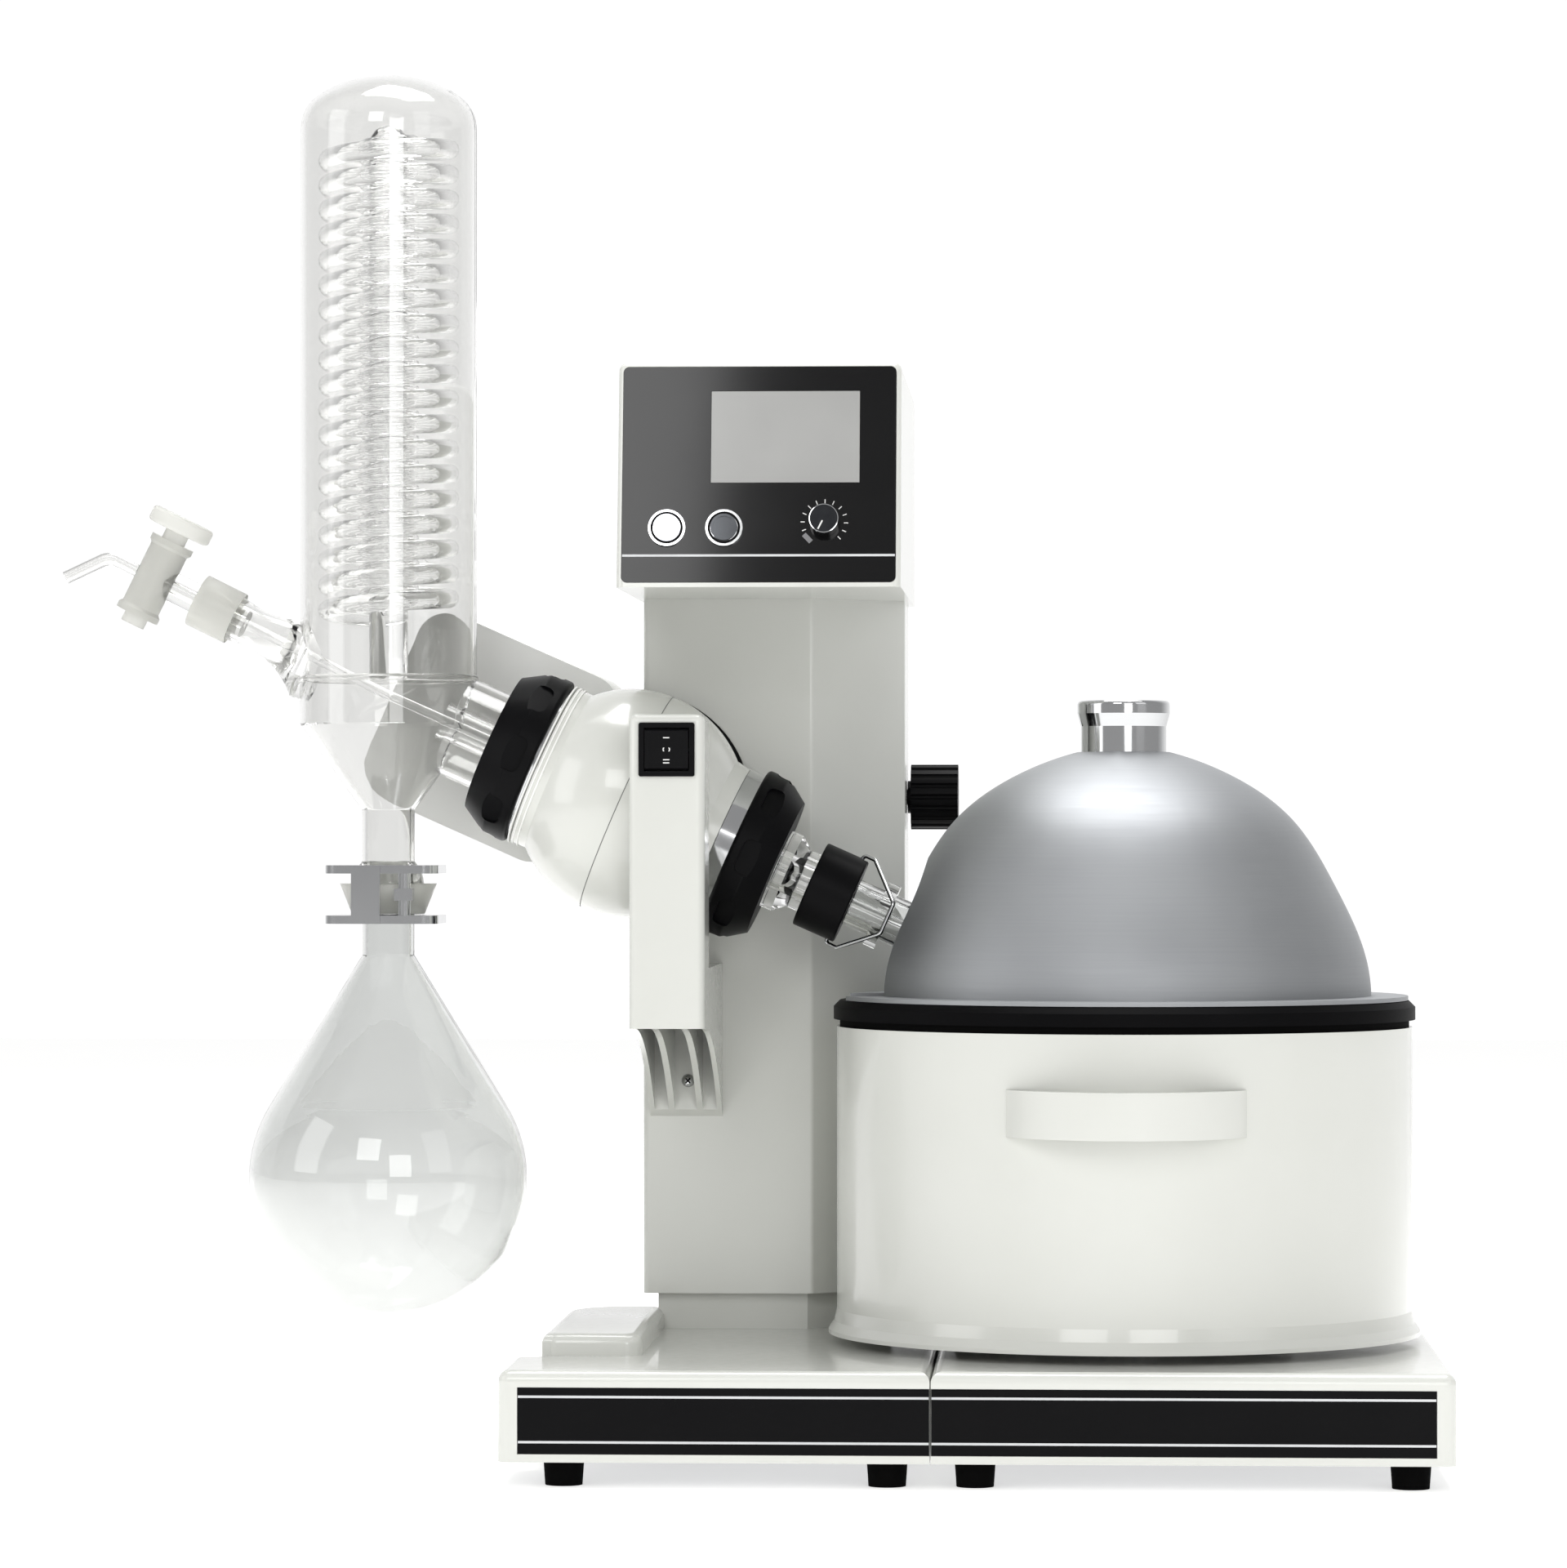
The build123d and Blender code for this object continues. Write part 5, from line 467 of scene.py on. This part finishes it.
# Raised pad at the left of the base, an enamelled cover with soft corners over the cast step
pad_left, pad_right, pad_front, pad_back = -90.6, -43.0, -99.1, 75.6
pad_floor, pad_top, pad_edge = 52.0, 64.4, 5.0
small_round, large_round, arc_steps, edge_steps = 8.0, 32.0, 8, 5
quarter = 90
pad = bmesh.new()
rim = []
for x, y, radius, start in (
    (pad_left + small_round, pad_front + small_round, small_round, 2 * quarter),
    (pad_right - small_round, pad_front + small_round, small_round, 3 * quarter),
    (pad_right - small_round, pad_back - small_round, small_round, 0),
    (pad_left + large_round, pad_back - large_round, large_round, quarter),
):
    for step in range(arc_steps + 1):
        turn = math.radians(start + quarter * step / arc_steps)
        corner = Vector((x + radius * math.cos(turn), y + radius * math.sin(turn), pad_floor))
        rim.append(pad.verts.new(corner * MM))
raised = bmesh.ops.extrude_face_region(pad, geom=[pad.faces.new(rim)], use_keep_orig=True)["geom"]
crown = [g for g in raised if isinstance(g, bmesh.types.BMVert)]
bmesh.ops.translate(pad, verts=crown, vec=(0, 0, (pad_top - pad_floor) * MM))
crown_edges = [g for g in raised if isinstance(g, bmesh.types.BMEdge)]
bmesh.ops.bevel(
    pad, geom=crown_edges, offset=pad_edge * MM, affect="EDGES", segments=edge_steps, profile=0.5, material=-1
)
finish_piece("base_pad", pad, "base", white_paint)

# Silver lines along the black strips of both bases
line_width, line_thickness, line_sunk, line_short = 1.1, 0.1, 0.02, 0.4
line_levels = (42.1, 21.3)
for panel in ("base_front_panel", "bath_front_panel"):
    low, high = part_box(panel)
    size = ((high.x - low.x) / MM - line_short, line_thickness, line_width)
    for level in line_levels:
        middle = Vector(((low.x + high.x) / 2, low.y + line_sunk * MM, level * MM))
        place = Matrix.Translation(middle)
        block_piece(f"{panel}_line_{round(level)}", size, [place], "base", silver_print)

# Control panel print, in a frame on the leaning fascia: X across, Y up it, Z out of it
lean = math.radians(10)
fascia_out = Vector((0, -math.cos(lean), math.sin(lean)))
fascia_low = Vector((11.5, -88, 417)) * MM
fascia_foot = 2.33
print_thickness = 0.12


def top_of(node, origin):
    """How far a node stands out of the fascia from origin."""
    return max((v.co - origin).dot(fascia_out) for v in nodes[node].data.vertices)


fascia_height = top_of("control_panel", fascia_low)
fascia = axis_frame(fascia_low + fascia_out * fascia_height, fascia_out, right)


def on_fascia(x, y, turn=0.0, out=0.0, reach=0.0):
    """A place on the fascia, in mm from its bottom middle, turned in its plane, then moved along and out."""
    spot = fascia @ Matrix.Translation((x * MM, (y + fascia_foot) * MM, 0))
    return spot @ Matrix.Rotation(turn, 4, "Z") @ Matrix.Translation((0, reach * MM, out * MM))


fascia_line_length, fascia_line_y = 129.4, 13.0
fascia_line = (fascia_line_length, line_width, print_thickness)
block_piece("fascia_line", fascia_line, [on_fascia(0, fascia_line_y)], "carriage", silver_print)
knob_x, knob_y = 31.2, 28.9
tick_count, scale_start, scale_step = 12, -111, 22.5
tick_reach, stop_reach = 10.3, 11
tick_turns = [math.radians(scale_start + scale_step * index) for index in range(tick_count)]
tick_places = [on_fascia(knob_x, knob_y, -turn, reach=tick_reach) for turn in tick_turns]
tick_size = (0.45, 2.0, print_thickness)
block_piece("speed_scale", tick_size, tick_places, "carriage", white_print)
stop_turn = math.radians(scale_start - scale_step)
stop_place = on_fascia(knob_x, knob_y, -stop_turn, reach=stop_reach)
stop_size = (5.0, 2.4, print_thickness)
block_piece("speed_stop_mark", stop_size, [stop_place], "carriage", grey_print)

# Painted shade: a dark ring on each bezel stands for the shade in the groove round each button, inside its
# bright bezel
groove_inner, groove_outer, groove_low, groove_high = 6.6, 7.7, -0.3, 0.25
bezel_top = top_of("button_bezels", fascia.translation)
for button in ("power_button", "heat_button"):
    low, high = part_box(button)
    middle = fascia.inverted() @ ((low + high) / 2)
    place = fascia @ Matrix.Translation((middle.x, middle.y, bezel_top))
    groove_shade = band(groove_inner, groove_outer, groove_low, groove_high)
    spun_piece(f"{button}_groove", groove_shade, place, button_steps, "carriage", black_plastic)

# Speed knob: a bright turned edge, a dark face and a white pointer
knob_frame = on_fascia(knob_x, knob_y)
knob_top = top_of("speed_knob", knob_frame.translation) / MM
edge_rises = [(6.5, -0.1), (7.05, -0.6), (7.12, -0.4), (6.95, 0.02), (6.6, 0.06)]
knob_edge = [(r, knob_top + rise) for r, rise in edge_rises]
spun_piece("speed_knob_edge", knob_edge, knob_frame, button_steps, "speed_knob", chrome_plate)
face_radius, face_sunk, face_proud = 6.5, 0.1, 0.04
knob_face = band(0.0, face_radius, knob_top - face_sunk, knob_top + face_proud)
spun_piece("speed_knob_face", knob_face, knob_frame, button_steps, "speed_knob", dark_aluminium)
pointer_turn, pointer_reach, pointer_proud = math.radians(-153), 3.6, 0.05
pointer_size = (0.7, 4.6, print_thickness)
pointer_place = on_fascia(knob_x, knob_y, -pointer_turn, out=knob_top + pointer_proud, reach=pointer_reach)
block_piece("speed_pointer", pointer_size, [pointer_place], "speed_knob", white_print)

# Marks on the rocker: bar, ring and double bar, on its two slopes and in the dip between them
rocker_low, rocker_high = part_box("rocker")
rocker_middle = (rocker_low + rocker_high) / 2
dip_depth, slope_height = 1.6, 8.77
slope = math.atan2(dip_depth, slope_height)
mark_height, mark_half_gap, mark_proud, ring_depth = 5.6, 0.75, 0.03, 1.5
ring_inner, ring_outer, ring_half = 1.25, 1.75, 0.06
bar_size = (3.0, 0.12, 0.55)
bar_places = []
for height, offset in ((mark_height, 0.0), (-mark_height, -mark_half_gap), (-mark_height, mark_half_gap)):
    level = height + offset
    depth = dip_depth * (1 - abs(level) / slope_height) - mark_proud
    spot = Vector((rocker_middle.x, rocker_low.y + depth * MM, rocker_middle.z + level * MM))
    bar_places.append(Matrix.Translation(spot) @ Matrix.Rotation(-math.copysign(slope, height), 4, "X"))
block_piece("rocker_bars", bar_size, bar_places, "rocker", white_print)
ring_spot = Vector((rocker_middle.x, rocker_low.y + ring_depth * MM, rocker_middle.z))
ring_mark = band(ring_inner, ring_outer, -ring_half, ring_half)
ring_frame = axis_frame(ring_spot, front, right)
spun_piece("rocker_ring", ring_mark, ring_frame, small_steps, "rocker", white_print)

# Cross-head screw that holds the bracket's back wall to the column, between the middle ribs
screw_spot = Vector((-30.4, 52, 177.8)) * MM
screw_frame = axis_frame(screw_spot, front, right + up)
screw_head = [(0, -0.4), (3.3, -0.4), (3.3, 0.4), (2.6, 1.4), (1.4, 1.9), (0, 2.0)]
spun_piece("bracket_screw", screw_head, screw_frame, small_steps, "carriage", polished_steel)
slot_size, slot_out = (3.4, 0.8, 0.5), 1.8
slot_place = screw_frame @ Matrix.Translation((0, 0, slot_out * MM))
slot_places = [slot_place, slot_place @ Matrix.Rotation(math.pi / 2, 4, "Z")]
block_piece("bracket_screw_cross", slot_size, slot_places, "carriage", black_plastic)

# Pale paper sweep, lit from beneath so that it meets the bright wall without an edge
floor_half = 6
floor_mesh = bmesh.new()
bmesh.ops.create_grid(floor_mesh, x_segments=2, y_segments=2, size=floor_half)
floor_data = bpy.data.meshes.new("floor")
floor_mesh.to_mesh(floor_data)
floor_mesh.free()
floor = bpy.data.objects.new("floor", floor_data)
scene.collection.objects.link(floor)
floor_paper = surface(
    "pale_paper", ("F3F3F2", "F6F6F5"),
    cloud_mm=400, roughness=(0.88, 0.92), grain_mm=2, bump_mm=0.01,
    sockets={"Emission Color": linear("FFFFFF"), "Emission Strength": 0.475},
)
floor_data.materials.append(floor_paper)

# Studio surroundings: a bright wall behind the machine that falls off to grey at the sides and the front
world = bpy.data.worlds.new("studio")
world.use_nodes = True
sky = world.node_tree
sky.nodes.clear()
way = add_node(sky, "ShaderNodeTexCoord")
split = add_node(sky, "ShaderNodeSeparateXYZ", links={"Vector": (way, "Generated")})
fall_off = {
    "interpolation_type": "SMOOTHSTEP",
    "From Min": 0.2,
    "From Max": 0.95,
    "To Min": 0.42,
    "To Max": 1.05,
}
fall = add_node(sky, "ShaderNodeMapRange", fall_off, {"Value": (split, "Y")})
backdrop = add_node(sky, "ShaderNodeBackground", {"Color": linear("FFFFFF")}, {"Strength": (fall, first)})
add_node(sky, "ShaderNodeOutputWorld", links={"Surface": (backdrop, first)})
scene.world = world
scene.view_settings.view_transform = "Standard"
# Light crosses many walls of the jacket, the coil and the core tube
wall_crossings = 48
for kind in ("max_bounces", "transmission_bounces", "transparent_max_bounces", "glossy_bounces"):
    setattr(scene.cycles, kind, wall_crossings)


def soft_box(name, place, aim, size, power):
    """A studio lamp of one size turned to a point."""
    lamp = bpy.data.lights.new(name, "AREA")
    lamp.shape = "RECTANGLE"
    lamp.size, lamp.size_y = size
    lamp.energy = power
    made = bpy.data.objects.new(name, lamp)
    made.location = place
    made.rotation_euler = (Vector(aim) - Vector(place)).to_track_quat("-Z", "Y").to_euler()
    scene.collection.objects.link(made)


# The key lamp's right edge shows in the leaning fascia between the two buttons
machine_middle = (0, 0, 0.3)
machine_base = (0, 0, 0.2)
soft_box("key_lamp", place=(-0.88, -3.6, 1.97), aim=machine_middle, size=(1.3, 1.3), power=22)
soft_box("front_lamp", place=(0.9, -3.6, 1.0), aim=machine_middle, size=(1.2, 1.2), power=18)
soft_box("left_lamp", place=(-2.2, -0.9, 1.1), aim=machine_middle, size=(1.0, 1.6), power=10)
soft_box("right_lamp", place=(1.8, -1.6, 1.2), aim=machine_middle, size=(1.0, 1.6), power=4)
soft_box("top_lamp", place=(0.1, 0.2, 2.2), aim=machine_base, size=(1.4, 1.0), power=38)

# A long lens from a little right of the machine, level with the drive head
camera_place = Vector((0.160, -2.965, 0.299))
camera_aim = Vector((0.0194, 0, 0.3245))
camera_data = bpy.data.cameras.new("camera")
camera_data.lens = 139.8
camera_data.sensor_width = 36
camera = bpy.data.objects.new("camera", camera_data)
camera.location = camera_place
camera.rotation_euler = (camera_aim - camera_place).to_track_quat("-Z", "Y").to_euler()
scene.collection.objects.link(camera)
scene.camera = camera
